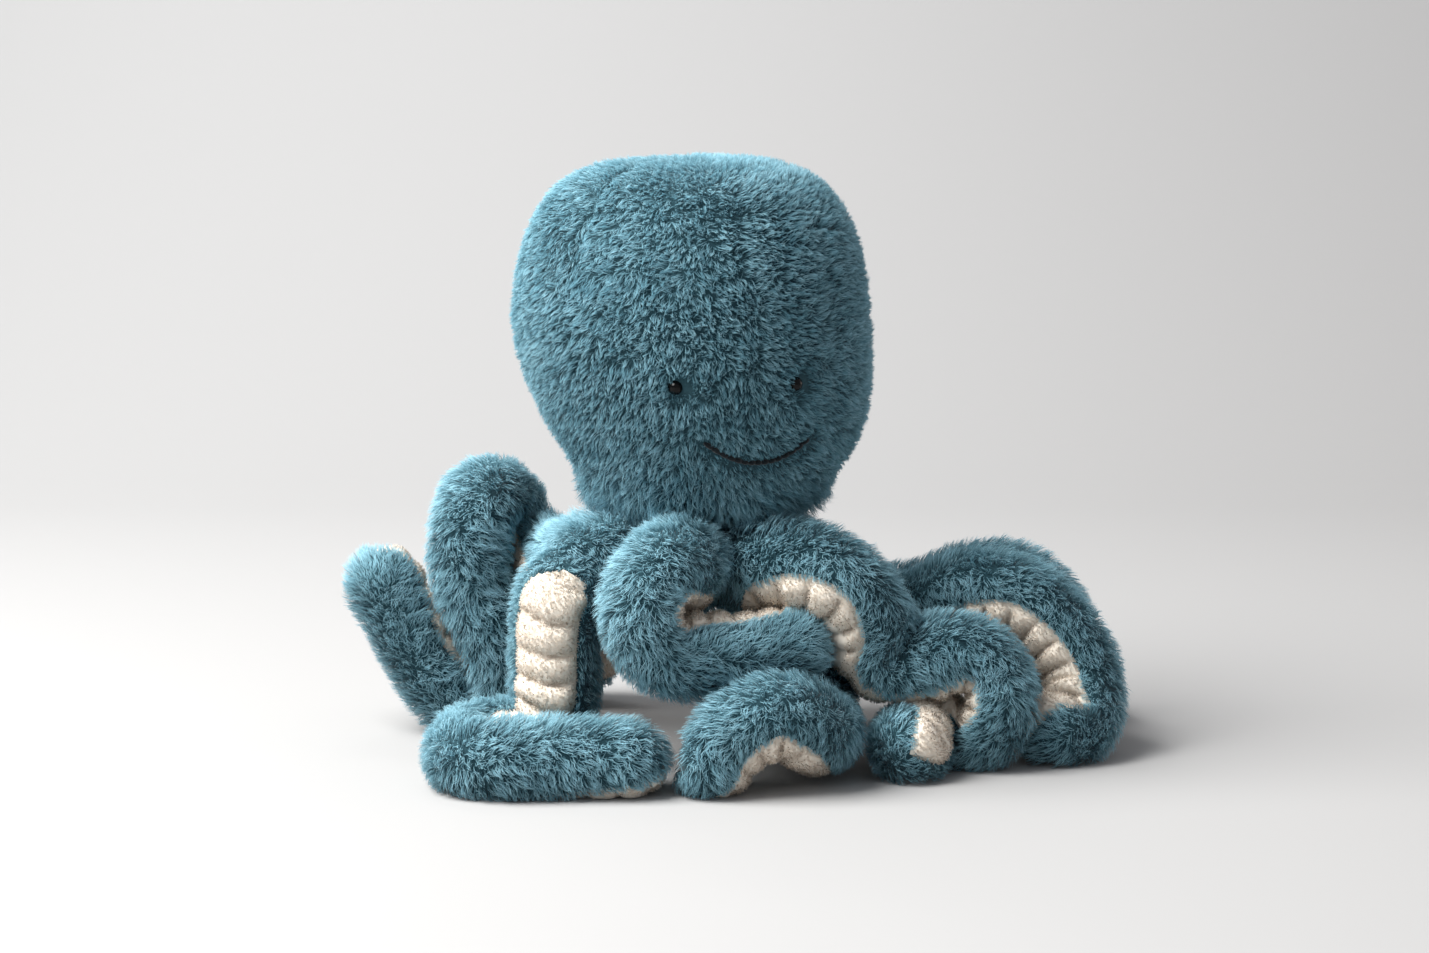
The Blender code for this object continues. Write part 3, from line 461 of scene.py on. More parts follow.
def drift(points, size, seed):
    """Soft noise between about -1 and 1 whose waves are about a size long."""
    source = np.random.default_rng(seed)
    total = np.zeros(len(points))
    for _ in range(7):
        wave = unit(source.normal(size=3)) * math.tau / (size * source.uniform(0.6, 1.7))
        total += np.sin(points @ wave + source.uniform(0, math.tau))
    return total / 2.6


def surface_normals(grid):
    """Normals of a grid of rings, all to one side of it."""
    along = np.gradient(grid, axis=0)
    across = np.roll(grid, -1, axis=1) - np.roll(grid, 1, axis=1)
    return unit(np.cross(along, across))


def dress(arm, index):
    """Adds the fine skin of an arm: its grid, runs, angles and normals."""
    angles = np.linspace(-math.pi, math.pi, SKIN_COLUMNS, endpoint=False)
    count = len(arm.places)
    rings = np.array([
        [arm.places[s] + arm.offset(s, angle) * arm.radii[s] for angle in angles] + [arm.places[s]]
        for s in range(count)
    ])
    counts = [max(2, round(length / SKIN_STEP)) for length in np.diff(arm.runs)]
    fine = through(rings, counts)
    grid, middle = fine[:, :-1], fine[:, -1]
    tip = []
    for step in range(1, TIP_ROWS + 1):
        turn = math.pi / 2 * step / (TIP_ROWS + 1)
        ahead = arm.tangents[-1] * TIP_RADIUS * math.sin(turn)
        tip.append(middle[-1] + ahead + (grid[-1] - middle[-1]) * math.cos(turn))
    grid = np.concatenate((grid, np.array(tip)))
    tip_middle = middle[-1] + arm.tangents[-1] * TIP_RADIUS * 0.8
    arm.middle = np.concatenate((middle, [tip_middle] * TIP_ROWS))
    steps = np.linalg.norm(np.diff(grid.mean(axis=1), axis=0), axis=1)
    arm.runs_fine = np.concatenate(([0.0], np.cumsum(steps)))
    arm.smooth = grid
    smooth_normals = surface_normals(grid)
    arm.turned = np.sum(smooth_normals * (grid - arm.middle[:, None]), axis=2).mean() < 0
    if arm.turned:
        smooth_normals = -smooth_normals
    share = (np.abs(angles) - UPPER_HALF_ANGLE) / (math.pi - UPPER_HALF_ANGLE)
    source = np.random.default_rng(40 + index)
    phase = arm.runs_fine[:, None] / RIB_PITCH + RIB_WAVE * np.sin(3 * angles + index)[None, :]
    ribs = np.abs(np.sin(math.pi * phase)) ** RIB_FLATNESS
    heights = source.uniform(0.75, 1.15, RIB_COUNT)[np.clip(phase.astype(int), 0, RIB_COUNT - 1)]
    ends = ease((arm.runs_fine[-1] + TIP_FADE_END - arm.runs_fine) / TIP_FADE)[:, None]
    envelope = ease(share / RIB_EDGE_SHARE)[None, :] * ends
    push = envelope * (RIB_HEIGHT * ribs * heights - RIB_SINK)
    edge = np.exp(-((np.abs(angles) - UPPER_HALF_ANGLE) / SEAM_HALF_ANGLE) ** 2)
    push = push - SEAM_DEPTH * edge[None, :] * ends
    arm.grid = grid + smooth_normals * push[:, :, None]
    arm.grid[:, :, 2] = np.maximum(arm.grid[:, :, 2], FLOOR_CLEARANCE)
    arm.normals = surface_normals(arm.grid) * (-1 if arm.turned else 1)
    start = CREAM_STARTS.get(arm.name, CREAM_START)
    start = start + CREAM_ROUNDING * (1 - np.clip(share, 0, 1)) ** 2
    arm.gathered = (share > 0)[None, :] & (arm.runs_fine[:, None] >= start[None, :])


for index, arm in enumerate(arms.values()):
    dress(arm, index)
print("skin rows", {name: len(arm.grid) for name, arm in arms.items()})

# %% [markdown]
# ## Colours of cloth and pile
#
# The dyed acrylic pile is coloured darkest at its roots, as painted shade for the little light
# that gets in there, and paler at its tips. Each strand carries two numbers in its map: its own
# tone, and how far along it a point is. Two colour ramps read them. The cream nap is read the
# same way, with the same painted shade at its roots.

# %% Mix the materials
# Painted shade: the root colours of pile and nap are darker, for the little light that reaches
# them.
BLUE_ROOT_SHADE = ((0.030, 0.085, 0.110), (0.090, 0.220, 0.270))
BLUE_TIPS = ((0.215, 0.475, 0.585), (0.500, 0.820, 0.940))
CREAM_ROOT_SHADE = ((0.66, 0.55, 0.45), (0.76, 0.67, 0.57))
CREAM_TIPS = ((0.84, 0.77, 0.69), (0.90, 0.84, 0.77))
# Painted shade: the blue backing is coloured darker than the pile's roots, for the shade at the
# bottom of the pile.
BLUE_BACKING_SHADE = ((0.010, 0.032, 0.042), (0.030, 0.080, 0.100))
CREAM_CLOTH = ((0.68, 0.62, 0.53), (0.75, 0.70, 0.62))
# How far up each strand the painted root shade reaches.
ROOT_SHADE_POWER = 1.45


def ramp(tree, source, pair):
    """Colour between a pair of colours, by a value from 0 to 1."""
    node = tree.nodes.new("ShaderNodeValToRGB")
    node.color_ramp.elements[0].color = (*pair[0], 1)
    node.color_ramp.elements[1].color = (*pair[1], 1)
    tree.links.new(source, node.inputs["Fac"])
    return node.outputs["Color"]


def pile_material(name, root_shade, tips, roughness, sheen, glow):
    """Two ramps over the tone, blended from the painted shade at the root to the tip; a share of
    the light comes through.
    """
    material = plain_material(name, tips[0], roughness, 0.15)
    tree = material.node_tree
    shader = tree.nodes["Principled BSDF"]
    shader.inputs["Sheen Weight"].default_value = sheen
    shader.inputs["Sheen Roughness"].default_value = 0.5
    places = tree.nodes.new("ShaderNodeUVMap")
    places.uv_map = "OFBake"
    parts = tree.nodes.new("ShaderNodeSeparateXYZ")
    tree.links.new(places.outputs["UV"], parts.inputs["Vector"])
    mix = tree.nodes.new("ShaderNodeMix")
    mix.data_type = "RGBA"
    height = tree.nodes.new("ShaderNodeMath")
    height.operation = "POWER"
    height.inputs[1].default_value = ROOT_SHADE_POWER
    tree.links.new(parts.outputs["Y"], height.inputs[0])
    tree.links.new(height.outputs[0], mix.inputs["Factor"])
    tree.links.new(ramp(tree, parts.outputs["X"], root_shade), mix.inputs[6])
    tree.links.new(ramp(tree, parts.outputs["X"], tips), mix.inputs[7])
    tree.links.new(mix.outputs[2], shader.inputs["Base Color"])
    through_light = tree.nodes.new("ShaderNodeBsdfTranslucent")
    tree.links.new(mix.outputs[2], through_light.inputs["Color"])
    both = tree.nodes.new("ShaderNodeMixShader")
    both.inputs[0].default_value = glow
    tree.links.new(shader.outputs["BSDF"], both.inputs[1])
    tree.links.new(through_light.outputs["BSDF"], both.inputs[2])
    tree.links.new(both.outputs["Shader"], tree.nodes["Material Output"].inputs["Surface"])
    return material


def cloth_material(name, low, high, size, roughness):
    """Knitted backing: two tones in a fine uneven pattern."""
    material = plain_material(name, low, roughness, 0.1)
    tree = material.node_tree
    shader = tree.nodes["Principled BSDF"]
    shader.inputs["Sheen Weight"].default_value = 0.2
    places = tree.nodes.new("ShaderNodeTexCoord")
    noise = tree.nodes.new("ShaderNodeTexNoise")
    noise.inputs["Scale"].default_value = size
    noise.inputs["Detail"].default_value = 3
    tree.links.new(places.outputs["Object"], noise.inputs["Vector"])
    tree.links.new(ramp(tree, noise.outputs["Fac"], (low, high)), shader.inputs["Base Color"])
    return material


blue_pile = pile_material("blue_pile", BLUE_ROOT_SHADE, BLUE_TIPS, 0.85, 0.05, 0.5)
cream_nap = pile_material("cream_nap", CREAM_ROOT_SHADE, CREAM_TIPS, 0.95, 0.0, 0.5)
# The blue backing carries painted shade: its dark colour stands for the shade under the pile.
blue_backing_shade = cloth_material("blue_backing_shade", *BLUE_BACKING_SHADE, 900, 0.95)
cream_cloth = cloth_material("cream_cloth", *CREAM_CLOTH, 700, 0.95)
print("materials", [item.name for item in bpy.data.materials])

# %% Sew the cloth tubes of the arms
BLEND_END = 46 * MM
ROOT_LEAST_RUN = 20 * MM


def build_mesh(name, vertices, corners, sizes, materials):
    """Object from plain arrays: vertices, the corners of all faces, and each face's size."""
    mesh = bpy.data.meshes.new(name)
    mesh.vertices.add(len(vertices))
    mesh.vertices.foreach_set("co", np.asarray(vertices + HUB_PLACE, np.float32).ravel())
    mesh.loops.add(len(corners))
    mesh.loops.foreach_set("vertex_index", np.asarray(corners, np.int32))
    mesh.polygons.add(len(sizes))
    starts = np.concatenate(([0], np.cumsum(sizes)[:-1]))
    mesh.polygons.foreach_set("loop_start", starts.astype(np.int32))
    for material in materials:
        mesh.materials.append(material)
    mesh.update(calc_edges=True)
    item = bpy.data.objects.new(name, mesh)
    bpy.context.collection.objects.link(item)
    return item


def ring_faces(rows, columns, turned):
    """Corners of the quads of a tube, wound so that their normals point out."""
    row, column = np.meshgrid(np.arange(rows - 1), np.arange(columns), indexing="ij")
    nxt = (column + 1) % columns
    quads = np.stack((row * columns + column, row * columns + nxt,
                      (row + 1) * columns + nxt, (row + 1) * columns + column), axis=-1)
    if not turned:
        quads = quads[:, :, ::-1]
    return quads.reshape(-1, 4)


def tube(name, grid, turned, cap_start, cap_end, materials, marks):
    """Tube through a grid of rings, closed by a fan to each cap's middle that isn't None.

    Marks gives the index of the material at each row and column.
    """
    rows, columns = grid.shape[:2]
    vertices = [grid.reshape(-1, 3)]
    quads = ring_faces(rows, columns, turned)
    corners = [quads.ravel()]
    sizes = [np.full(len(quads), 4)]
    tones = [marks[:-1].ravel()]
    total = rows * columns
    for wanted, ring, flip in ((cap_start, 0, turned), (cap_end, rows - 1, not turned)):
        if wanted is None:
            continue
        vertices.append(np.array(wanted)[None, :])
        column = np.arange(columns)
        first, second = ring * columns + column, ring * columns + (column + 1) % columns
        if flip:
            first, second = second, first
        fan = np.stack((first, second, np.full(columns, total)), axis=1)
        corners.append(fan.ravel())
        sizes.append(np.full(columns, 3))
        tones.append(marks[ring])
        total += 1
    item = build_mesh(name, np.concatenate(vertices), np.concatenate(corners),
                      np.concatenate(sizes), materials)
    item.data.polygons.foreach_set("material_index", np.concatenate(tones).astype(np.int32))
    item.data.shade_smooth()
    return item


def split_row(arm):
    """First row, past the blend, that lies wholly outside it."""
    out = (arm.smooth @ arm.outward).min(axis=1)
    rows = np.nonzero((arm.runs_fine > ROOT_LEAST_RUN) & (out > BLEND_END))[0]
    return int(rows[0])


def join_root(item, name, arm):
    """Bakes the root piece's place into its mesh, where it follows no body."""
    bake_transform(item)


for name, arm in arms.items():
    arm.split = split_row(arm)
    marks = np.where(arm.gathered, 0, 1)
    end = arm.middle[-1] + arm.tangents[-1] * 0.2 * TIP_RADIUS
    root_rows = slice(arm.split + 1)
    root = tube(f"cloth_root_{name}", arm.grid[root_rows], arm.turned, arm.middle[0], None,
                (cream_cloth, blue_backing_shade), marks[root_rows])
    join_root(root, name, arm)
    rest = tube(f"cloth_{name}", arm.grid[arm.split:], arm.turned, None, end,
                (cream_cloth, blue_backing_shade), marks[arm.split:])
    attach(rest, f"arm_{name}")
    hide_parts(f"arm_{name}_upper", f"arm_{name}_under", f"arm_{name}_filling")
    print(name, "root rows", arm.split, "of", len(arm.grid))

# %% [markdown]
# ## Cloth of the head
#
# Four panels and a crown cap are sewn edge to edge over a ball of fibre. The seams pull in,
# so shallow furrows run down the head. A ring profile gives the ball, and the furrows are
# pressed into it.

# %% Shape the head
NECK_EDGE = 0.129
HEAD_TOP = 0.2960
HEAD_RADIUS = 0.0855
HEAD_LEAN = 0.008
SEAMS = np.radians((-56, 36, 126, 214))
HEAD_PROFILE_SHARES = np.array((
    (0.390, 0.000, 0.0), (0.605, 0.022, 0.7), (0.708, 0.075, 0.9), (0.820, 0.163, 1.1),
    (0.925, 0.280, 0.8), (0.990, 0.430, 0.3), (1.000, 0.565, 0.0), (0.968, 0.705, 0.0),
    (0.885, 0.832, 0.0), (0.735, 0.932, 0.0), (0.500, 0.983, 0.0), (0.250, 0.996, 0.0),
    (0.020, 1.000, 0.0),
))
HEAD_COLUMNS = 160
HEAD_RING_STEPS = 7
HEAD_PRESS = 0.3 * MM
FURROW_DEPTH = 1.8 * MM
FURROW_HALF_ANGLE = 0.05
EYE_PATCH = 9 * MM
EYE_BEARINGS = np.radians((-20.5, 20.5))
EYE_LEVEL = 0.1935
lean_way = from_camera(1, 0, 0)
head_rings = through(HEAD_PROFILE_SHARES, [HEAD_RING_STEPS] * (len(HEAD_PROFILE_SHARES) - 1))


def head_grid():
    """Skin of the head, and whether its rings run the other way round."""
    rows = head_rings
    bearings = np.arange(HEAD_COLUMNS) * math.tau / HEAD_COLUMNS
    reach = HEAD_RADIUS * rows[:, 0]
    height = NECK_EDGE + (HEAD_TOP - NECK_EDGE) * rows[:, 1]
    shift = HEAD_LEAN * rows[:, 2]
    grid = np.zeros((len(rows), HEAD_COLUMNS, 3))
    grid[:, :, 0] = reach[:, None] * np.sin(bearings)
    grid[:, :, 1] = -reach[:, None] * np.cos(bearings)
    grid[:, :, 2] = height[:, None]
    grid = grid + shift[:, None, None] * lean_way
    normals = surface_normals(grid)
    inside_out = (normals[:, :, :2] * grid[:, :, :2]).sum() < 0
    if inside_out:
        normals = -normals
    gaps = np.abs((bearings - SEAMS[:, None] + math.pi) % math.tau - math.pi)
    furrow = FURROW_DEPTH * np.exp(-(gaps.min(axis=0) / FURROW_HALF_ANGLE) ** 2)
    furrow = furrow[None, :] * ease(rows[:, 0] * 3 - 0.6)[:, None]
    eyes = [HEAD_RADIUS * np.array((math.sin(bearing), -math.cos(bearing), 0)) + UP * EYE_LEVEL
            for bearing in EYE_BEARINGS]
    near = np.min([np.linalg.norm(grid - eye, axis=2) for eye in eyes], axis=0)
    press = furrow + HEAD_PRESS * (1 - np.exp(-(near / EYE_PATCH) ** 2))
    return grid - normals * press[:, :, None], inside_out


head_skin, head_turned = head_grid()
head_normals = surface_normals(head_skin) * (-1 if head_turned else 1)
low_middle = (0, 0, NECK_EDGE + 1.5 * MM)
head_cloth = tube("cloth_head", head_skin, head_turned, low_middle, (0, 0, HEAD_TOP),
                  (blue_backing_shade,), np.zeros((len(head_skin), HEAD_COLUMNS)))
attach(head_cloth, "head")
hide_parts("face_panel", "side_panel_left", "side_panel_right", "back_panel",
            "crown_panel", "head_filling")
print("head rows", len(head_skin), "columns", HEAD_COLUMNS)

# %% [markdown]
# ## Pile, strand by strand
#
# Long pile is a dense stand of soft fibres that lean one way and cling together in small
# tufts, with dark gaps between. A painted texture would look flat at the outline and in the
# gaps, so every strand here is real: a thin ribbon of five triangles that bends over as it
# grows. Roots are spread evenly over the cloth. Each strand leans along the lay of the pile,
# then its upper part is drawn to the middle strand of its tuft.

# %% Tools that grow pile
STRAND_STEPS = (0.0, 0.36, 0.70, 1.0)
STRAND_WIDTHS = (1.0, 0.95, 0.62)
BEND_SHARES = (0.5, 1.0, 1.25)
CRIMP_WAYS = (1.0, -1.2, 1.0)
SINK = 0.5 * MM
CRIMP_SHARE = 0.19


def scatter(grid, normals, allowed, spacing, source):
    """Roots spread evenly where allowed, with normals and the directions of the grid."""
    columns = grid.shape[1]
    nxt = np.roll(np.arange(columns), -1)
    a, b = grid[:-1], grid[:-1][:, nxt]
    c, d = grid[1:], grid[1:][:, nxt]
    area = (np.linalg.norm(np.cross(b - a, c - a), axis=2)
            + np.linalg.norm(np.cross(b - d, c - d), axis=2))
    area = 0.5 * area * allowed[:-1]
    total = area.sum()
    count = int(total / spacing ** 2)
    marks = (np.arange(count) + source.uniform(size=count)) * total / count
    cell = np.minimum(np.searchsorted(np.cumsum(area.ravel()), marks), area.size - 1)
    row, column = np.divmod(cell, columns)
    u, v = source.uniform(size=(2, count, 1))
    other = nxt[column]
    roots = ((grid[row, column] * (1 - u) + grid[row, other] * u) * (1 - v)
             + (grid[row + 1, column] * (1 - u) + grid[row + 1, other] * u) * v)
    facing = unit((normals[row, column] * (1 - u) + normals[row, other] * u) * (1 - v)
                  + (normals[row + 1, column] * (1 - u) + normals[row + 1, other] * u) * v)
    along = unit(grid[row + 1, column] - grid[row, column])
    across = unit(grid[row, other] - grid[row, column])
    return roots, facing, along, across, row, column + u[:, 0]


def laid(normals, wanted):
    """Directions along the surface that come closest to the wanted ones."""
    return unit(wanted - normals * np.sum(wanted * normals, axis=1)[:, None])


def turned(lays, normals, angles):
    """Directions along the surface, turned about its normals."""
    angles = np.asarray(angles)[:, None]
    return lays * np.cos(angles) + np.cross(normals, lays) * np.sin(angles)


def bend_strands(roots, normals, lays, lengths, lean, source):
    """Places of each strand at its four steps, bent over and crimped to the side."""
    tilt = lean + source.normal(0, 0.16, len(roots))
    crimp = lengths * source.normal(0, CRIMP_SHARE, len(roots))
    aside = np.cross(normals, lays) * crimp[:, None]
    here = roots - normals * SINK
    places = [here]
    for start, end, share, way in zip(STRAND_STEPS, STRAND_STEPS[1:], BEND_SHARES, CRIMP_WAYS):
        angle = np.clip(tilt * share, 0, 1.5)[:, None]
        run = (lengths * (end - start))[:, None]
        here = here + (normals * np.cos(angle) + lays * np.sin(angle)) * run + aside * way
        places.append(here)
    return places


def tuft_strands(places, size, spacing, pull, source):
    """Draws strands to the middle ones of their tufts; returns each strand's tuft."""
    roots = places[0]
    count = len(roots)
    picks = source.permutation(count)[:max(1, int(count * (spacing / size) ** 2))]
    tree = KDTree(len(picks))
    for index, pick in enumerate(picks):
        tree.insert(roots[pick], index)
    tree.balance()
    tufts = np.array([tree.find(root)[1] for root in roots])
    chosen = picks[tufts]
    pulls = (pull * source.uniform(0.7, 1.15, len(picks)))[tufts]
    for step in (1, 2, 3):
        share = (pulls * STRAND_STEPS[step] ** 1.2)[:, None]
        places[step] = places[step] + (places[step][chosen] - places[step]) * share
    return tufts


def ribbons(name, places, normals, width, tones, soft, material, source):
    """One mesh of ribbons, each lit as a mixture of the cloth under it and of itself."""
    count = len(normals)
    roll = source.normal(0, 0.6, count)[:, None]
    widths = width * source.uniform(0.75, 1.25, count)[:, None]
    vertices = np.zeros((count, 7, 3))
    facing = np.zeros((count, 7, 3))
    for step in range(4):
        ahead = places[min(step + 1, 3)] - places[max(step - 1, 0)]
        ahead = unit(ahead)
        side = unit(np.cross(ahead, normals))
        up = np.cross(side, ahead)
        side = side * np.cos(roll) + up * np.sin(roll)
        face = np.cross(side, ahead)
        mixed = unit(normals * soft + face * (1 - soft))
        if step == 3:
            vertices[:, 6] = places[3]
            facing[:, 6] = mixed
        else:
            half = side * widths * STRAND_WIDTHS[step] / 2
            vertices[:, 2 * step] = places[step] - half
            vertices[:, 2 * step + 1] = places[step] + half
            facing[:, 2 * step] = facing[:, 2 * step + 1] = mixed
    vertices[:, :, 2] = np.maximum(vertices[:, :, 2], FLOOR_CLEARANCE)
    corners = np.array((0, 1, 3, 0, 3, 2, 2, 3, 5, 2, 5, 4, 4, 5, 6))
    corners = (np.arange(count)[:, None] * 7 + corners).ravel()
    item = build_mesh(name, vertices.reshape(-1, 3), corners, np.full(count * 5, 3), (material,))
    layer = item.data.uv_layers.new(name="OFBake")
    heights = np.repeat(STRAND_STEPS, (2, 2, 2, 1)) * 0.98 + 0.01
    tones = np.repeat(np.clip(tones, 0.01, 0.99), 7)
    spots = np.stack((tones, np.tile(heights, count)), axis=1)
    layer.data.foreach_set("uv", spots[corners].astype(np.float32).ravel())
    item.data.shade_smooth()
    item.data.normals_split_custom_set_from_vertices(facing.reshape(-1, 3).tolist())
    return item


# %% Find what a strand must not grow into
middle_points = np.concatenate([arm.middle for arm in arms.values()])
middle_arms = np.repeat(np.arange(len(arms)), [len(arm.middle) for arm in arms.values()])
middle_runs = np.concatenate([arm.runs_fine for arm in arms.values()])
middle_tree = KDTree(len(middle_points))
for index, point in enumerate(middle_points):
    middle_tree.insert(point, index)
middle_tree.balance()
OWN_STRETCH = 32 * MM
ARM_CORE = 17.5 * MM


def buried(points, owner, runs):
    """Whether points lie inside an arm, other than in their own stretch of their own arm."""
    hits = [middle_tree.find(point) for point in points]
    nearest = np.array([hit[1] for hit in hits])
    distance = np.array([hit[2] for hit in hits])
    same = (middle_arms[nearest] == owner) & (np.abs(middle_runs[nearest] - runs) < OWN_STRETCH)
    return (distance < ARM_CORE) & ~same


def head_ring(level):
    """Share of the head's height at a level, with the radius and the lean of its ring."""
    share = (level - NECK_EDGE) / (HEAD_TOP - NECK_EDGE)
    reach = np.interp(share, head_rings[:, 1], head_rings[:, 0]) * HEAD_RADIUS
    lean = np.interp(share, head_rings[:, 1], head_rings[:, 2]) * HEAD_LEAN
    return share, reach, lean


def in_head(points, margin):
    """Whether points lie inside the head's skin."""
    share, reach, lean = head_ring(points[:, 2])
    across = points[:, :2] - lean[:, None] * lean_way[:2]
    return (share > 0) & (share < 1) & (np.linalg.norm(across, axis=1) < reach - margin)


print("middle points", len(middle_points))

# %% [markdown]
# ## Pile and nap of the arms
#
# On the arms the pile is combed towards the tip and away from the middle of the back, so it
# hangs over the edge of the gathers. The gathered cloth has a nap so short and dense that it
# looks like terry. Strands that would grow into a neighbour or under the toy are left out.

# %% Grow the arms' pile
PILE_SPACING = 1.05 * MM
PILE_LENGTH = 9.8 * MM
PILE_WIDTH = 0.42 * MM
PILE_LEAN = math.radians(44)
TUFT_SIZE = 3.2 * MM
CLUMP_SIZE = TUFT_SIZE * 2.6
EDGE_TRIM = 0.45
HEAD_MARGIN = 6 * MM
PILE_OFF_FLOOR = 3 * MM
thin = 1.0


def arm_pieces(kind, name, arm, kept, row, places, normals, tones, width, soft, material, source):
    """Ribbons of an arm's kept strands: its root piece, and the rest."""
    for part, chosen in (("root_", kept & (row < arm.split)), ("", kept & (row >= arm.split))):
        if not chosen.any():
            continue
        item = ribbons(f"{kind}_{part}{name}", [place[chosen] for place in places],
                       normals[chosen], width, tones[chosen], soft, material, source)
        if part:
            join_root(item, name, arm)
        else:
            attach(item, f"arm_{name}")
        yield item


def grow_on_arm(name, arm, index):
    """Long pile over the back of an arm, as a root piece and a piece for the rest."""
    source = np.random.default_rng(100 + index)
    allowed = (~arm.gathered).astype(float)
    spacing = PILE_SPACING * thin
    roots, normals, along, across, row, column = scatter(
        arm.grid, arm.normals, allowed, spacing, source)
    angle = column / SKIN_COLUMNS * math.tau - math.pi
    share = angle / UPPER_HALF_ANGLE
    wanted = along * 0.6 + across * (1.1 * share)[:, None] - UP * 0.2
    lays = laid(normals, wanted)
    sway = 0.5 * drift(roots, 30 * MM, index) + 0.4 * drift(roots, 8 * MM, 20 + index)
    lays = turned(lays, normals, sway + source.normal(0, 0.16, len(roots)))
    lengths = PILE_LENGTH * source.uniform(0.72, 1.1, len(roots))
    lengths = lengths * (1 - EDGE_TRIM * np.clip(np.abs(share), 0, 1) ** 4)
    lengths = lengths * (1 + 0.35 * ease(1.4 - arm.runs_fine[row] / (35 * MM)))
    lean = PILE_LEAN + 0.16 * drift(roots, 14 * MM, 60 + index)
    places = bend_strands(roots, normals, lays, lengths, lean, source)
    tuft_strands(places, CLUMP_SIZE, spacing, 0.22, source)
    tufts = tuft_strands(places, TUFT_SIZE, spacing, 0.42, source)
    tones = 0.84 + 0.20 * drift(roots, 24 * MM, 80 + index) + source.normal(0, 0.12, len(roots))
    tones = tones + source.normal(0, 0.11, tufts.max() + 1)[tufts]
    kept = ~buried(places[3], index, arm.runs_fine[row]) & ~in_head(places[3], HEAD_MARGIN)
    kept &= ~((normals[:, 2] < -0.5) & (roots[:, 2] < PILE_OFF_FLOOR))
    for item in arm_pieces("pile", name, arm, kept, row, places, normals, tones,
                           PILE_WIDTH * thin, 0.7, blue_pile, source):
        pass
    return kept.sum()


grown = [grow_on_arm(name, arm, index) for index, (name, arm) in enumerate(arms.items())]
print("strands on arms", sum(grown))

# %% Grow the nap of the gathers
NAP_SPACING = 0.82 * MM
NAP_LENGTH = 2.5 * MM
NAP_WIDTH = 0.5 * MM
NAP_LEAN = math.radians(30)
NAP_TUFT_SIZE = 1.5 * MM
NAP_OFF_FLOOR = 2 * MM


def grow_nap(name, arm, index):
    """Short dense nap over the gathers of an arm, in the same two pieces."""
    source = np.random.default_rng(200 + index)
    allowed = arm.gathered.astype(float)
    spacing = NAP_SPACING * thin
    roots, normals, along, _, row, _ = scatter(
        arm.grid, arm.normals, allowed, spacing, source)
    lays = turned(laid(normals, along), normals, source.uniform(-math.pi, math.pi, len(roots)))
    lengths = NAP_LENGTH * source.uniform(0.6, 1.2, len(roots))
    places = bend_strands(roots, normals, lays, lengths, NAP_LEAN, source)
    tufts = tuft_strands(places, NAP_TUFT_SIZE, spacing, 0.5, source)
    tones = 0.6 + 0.15 * drift(roots, 20 * MM, 90 + index) + source.normal(0, 0.16, len(roots))
    tones = tones + source.normal(0, 0.10, tufts.max() + 1)[tufts]
    kept = ~buried(places[3], index, arm.runs_fine[row]) & ~in_head(places[3], HEAD_MARGIN)
    kept &= ~((normals[:, 2] < -0.5) & (roots[:, 2] < NAP_OFF_FLOOR))
    for item in arm_pieces("nap", name, arm, kept, row, places, normals, tones,
                           NAP_WIDTH * thin, 0.85, cream_nap, source):
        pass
    return kept.sum()


napped = [grow_nap(name, arm, index) for index, (name, arm) in enumerate(arms.items())]
print("strands of nap", sum(napped))

# %% [markdown]
# ## Pile of the head
#
# The head's pile is the same cloth, brushed: it falls from the crown over the left of the
# face and sweeps sideways over the right. It's shorter round the eyes and the smile, where a
# maker trims it so that they show.

# %% Grow the head's pile
MOUTH_LEVEL = 0.155
MOUTH_WIDTH = 0.0515
MOUTH_MIDDLE = 0.0054
MOUTH_DEPTH = 0.011
FACE_SHARE = 0.82
SKIRT_TOP, SKIRT_DEPTH = 0.147, 0.014
BRUSHED_FROM, BRUSHED_RISE = 0.215, 0.035
HEAD_PILE_SPACING = 0.86 * MM
HEAD_PILE_LENGTH = 6.2 * MM
HEAD_PILE_WIDTH = 0.38 * MM
HEAD_PILE_LEAN = math.radians(27)
BRUSHED_LEAN = math.radians(22)
HEAD_TUFT_SIZE = 2.1 * MM
HEAD_CLUMP_SIZE = 9 * MM
EYE_CLEARING = 4.6 * MM
MOUTH_CLEARING = 1.3 * MM
# Reach of the painted shade round the eyes and along the smile.
EYE_PAINTED_SHADE = 6.5 * MM
MOUTH_PAINTED_SHADE = 3.6 * MM
QUARTERS = ("back_left", "front_left", "front_right", "back_right")


def on_head(bearing, level):
    """Place on the head's skin at a bearing and a height."""
    _, reach, lean = head_ring(level)
    ring = np.array((reach * math.sin(bearing), -reach * math.cos(bearing), level))
    return ring + lean_way * lean


def mouth_line(count):
    """Places along the smile, on the pressed skin."""
    shares = np.linspace(-1, 1, count)
    bearings = (shares * MOUTH_WIDTH / 2 + MOUTH_MIDDLE) / (HEAD_RADIUS * FACE_SHARE)
    levels = MOUTH_LEVEL + MOUTH_DEPTH * np.abs(shares) ** 2.2
    places = np.array([on_head(b, z) for b, z in zip(bearings, levels)])
    return places - unit(places * (1, 1, 0)) * HEAD_PRESS


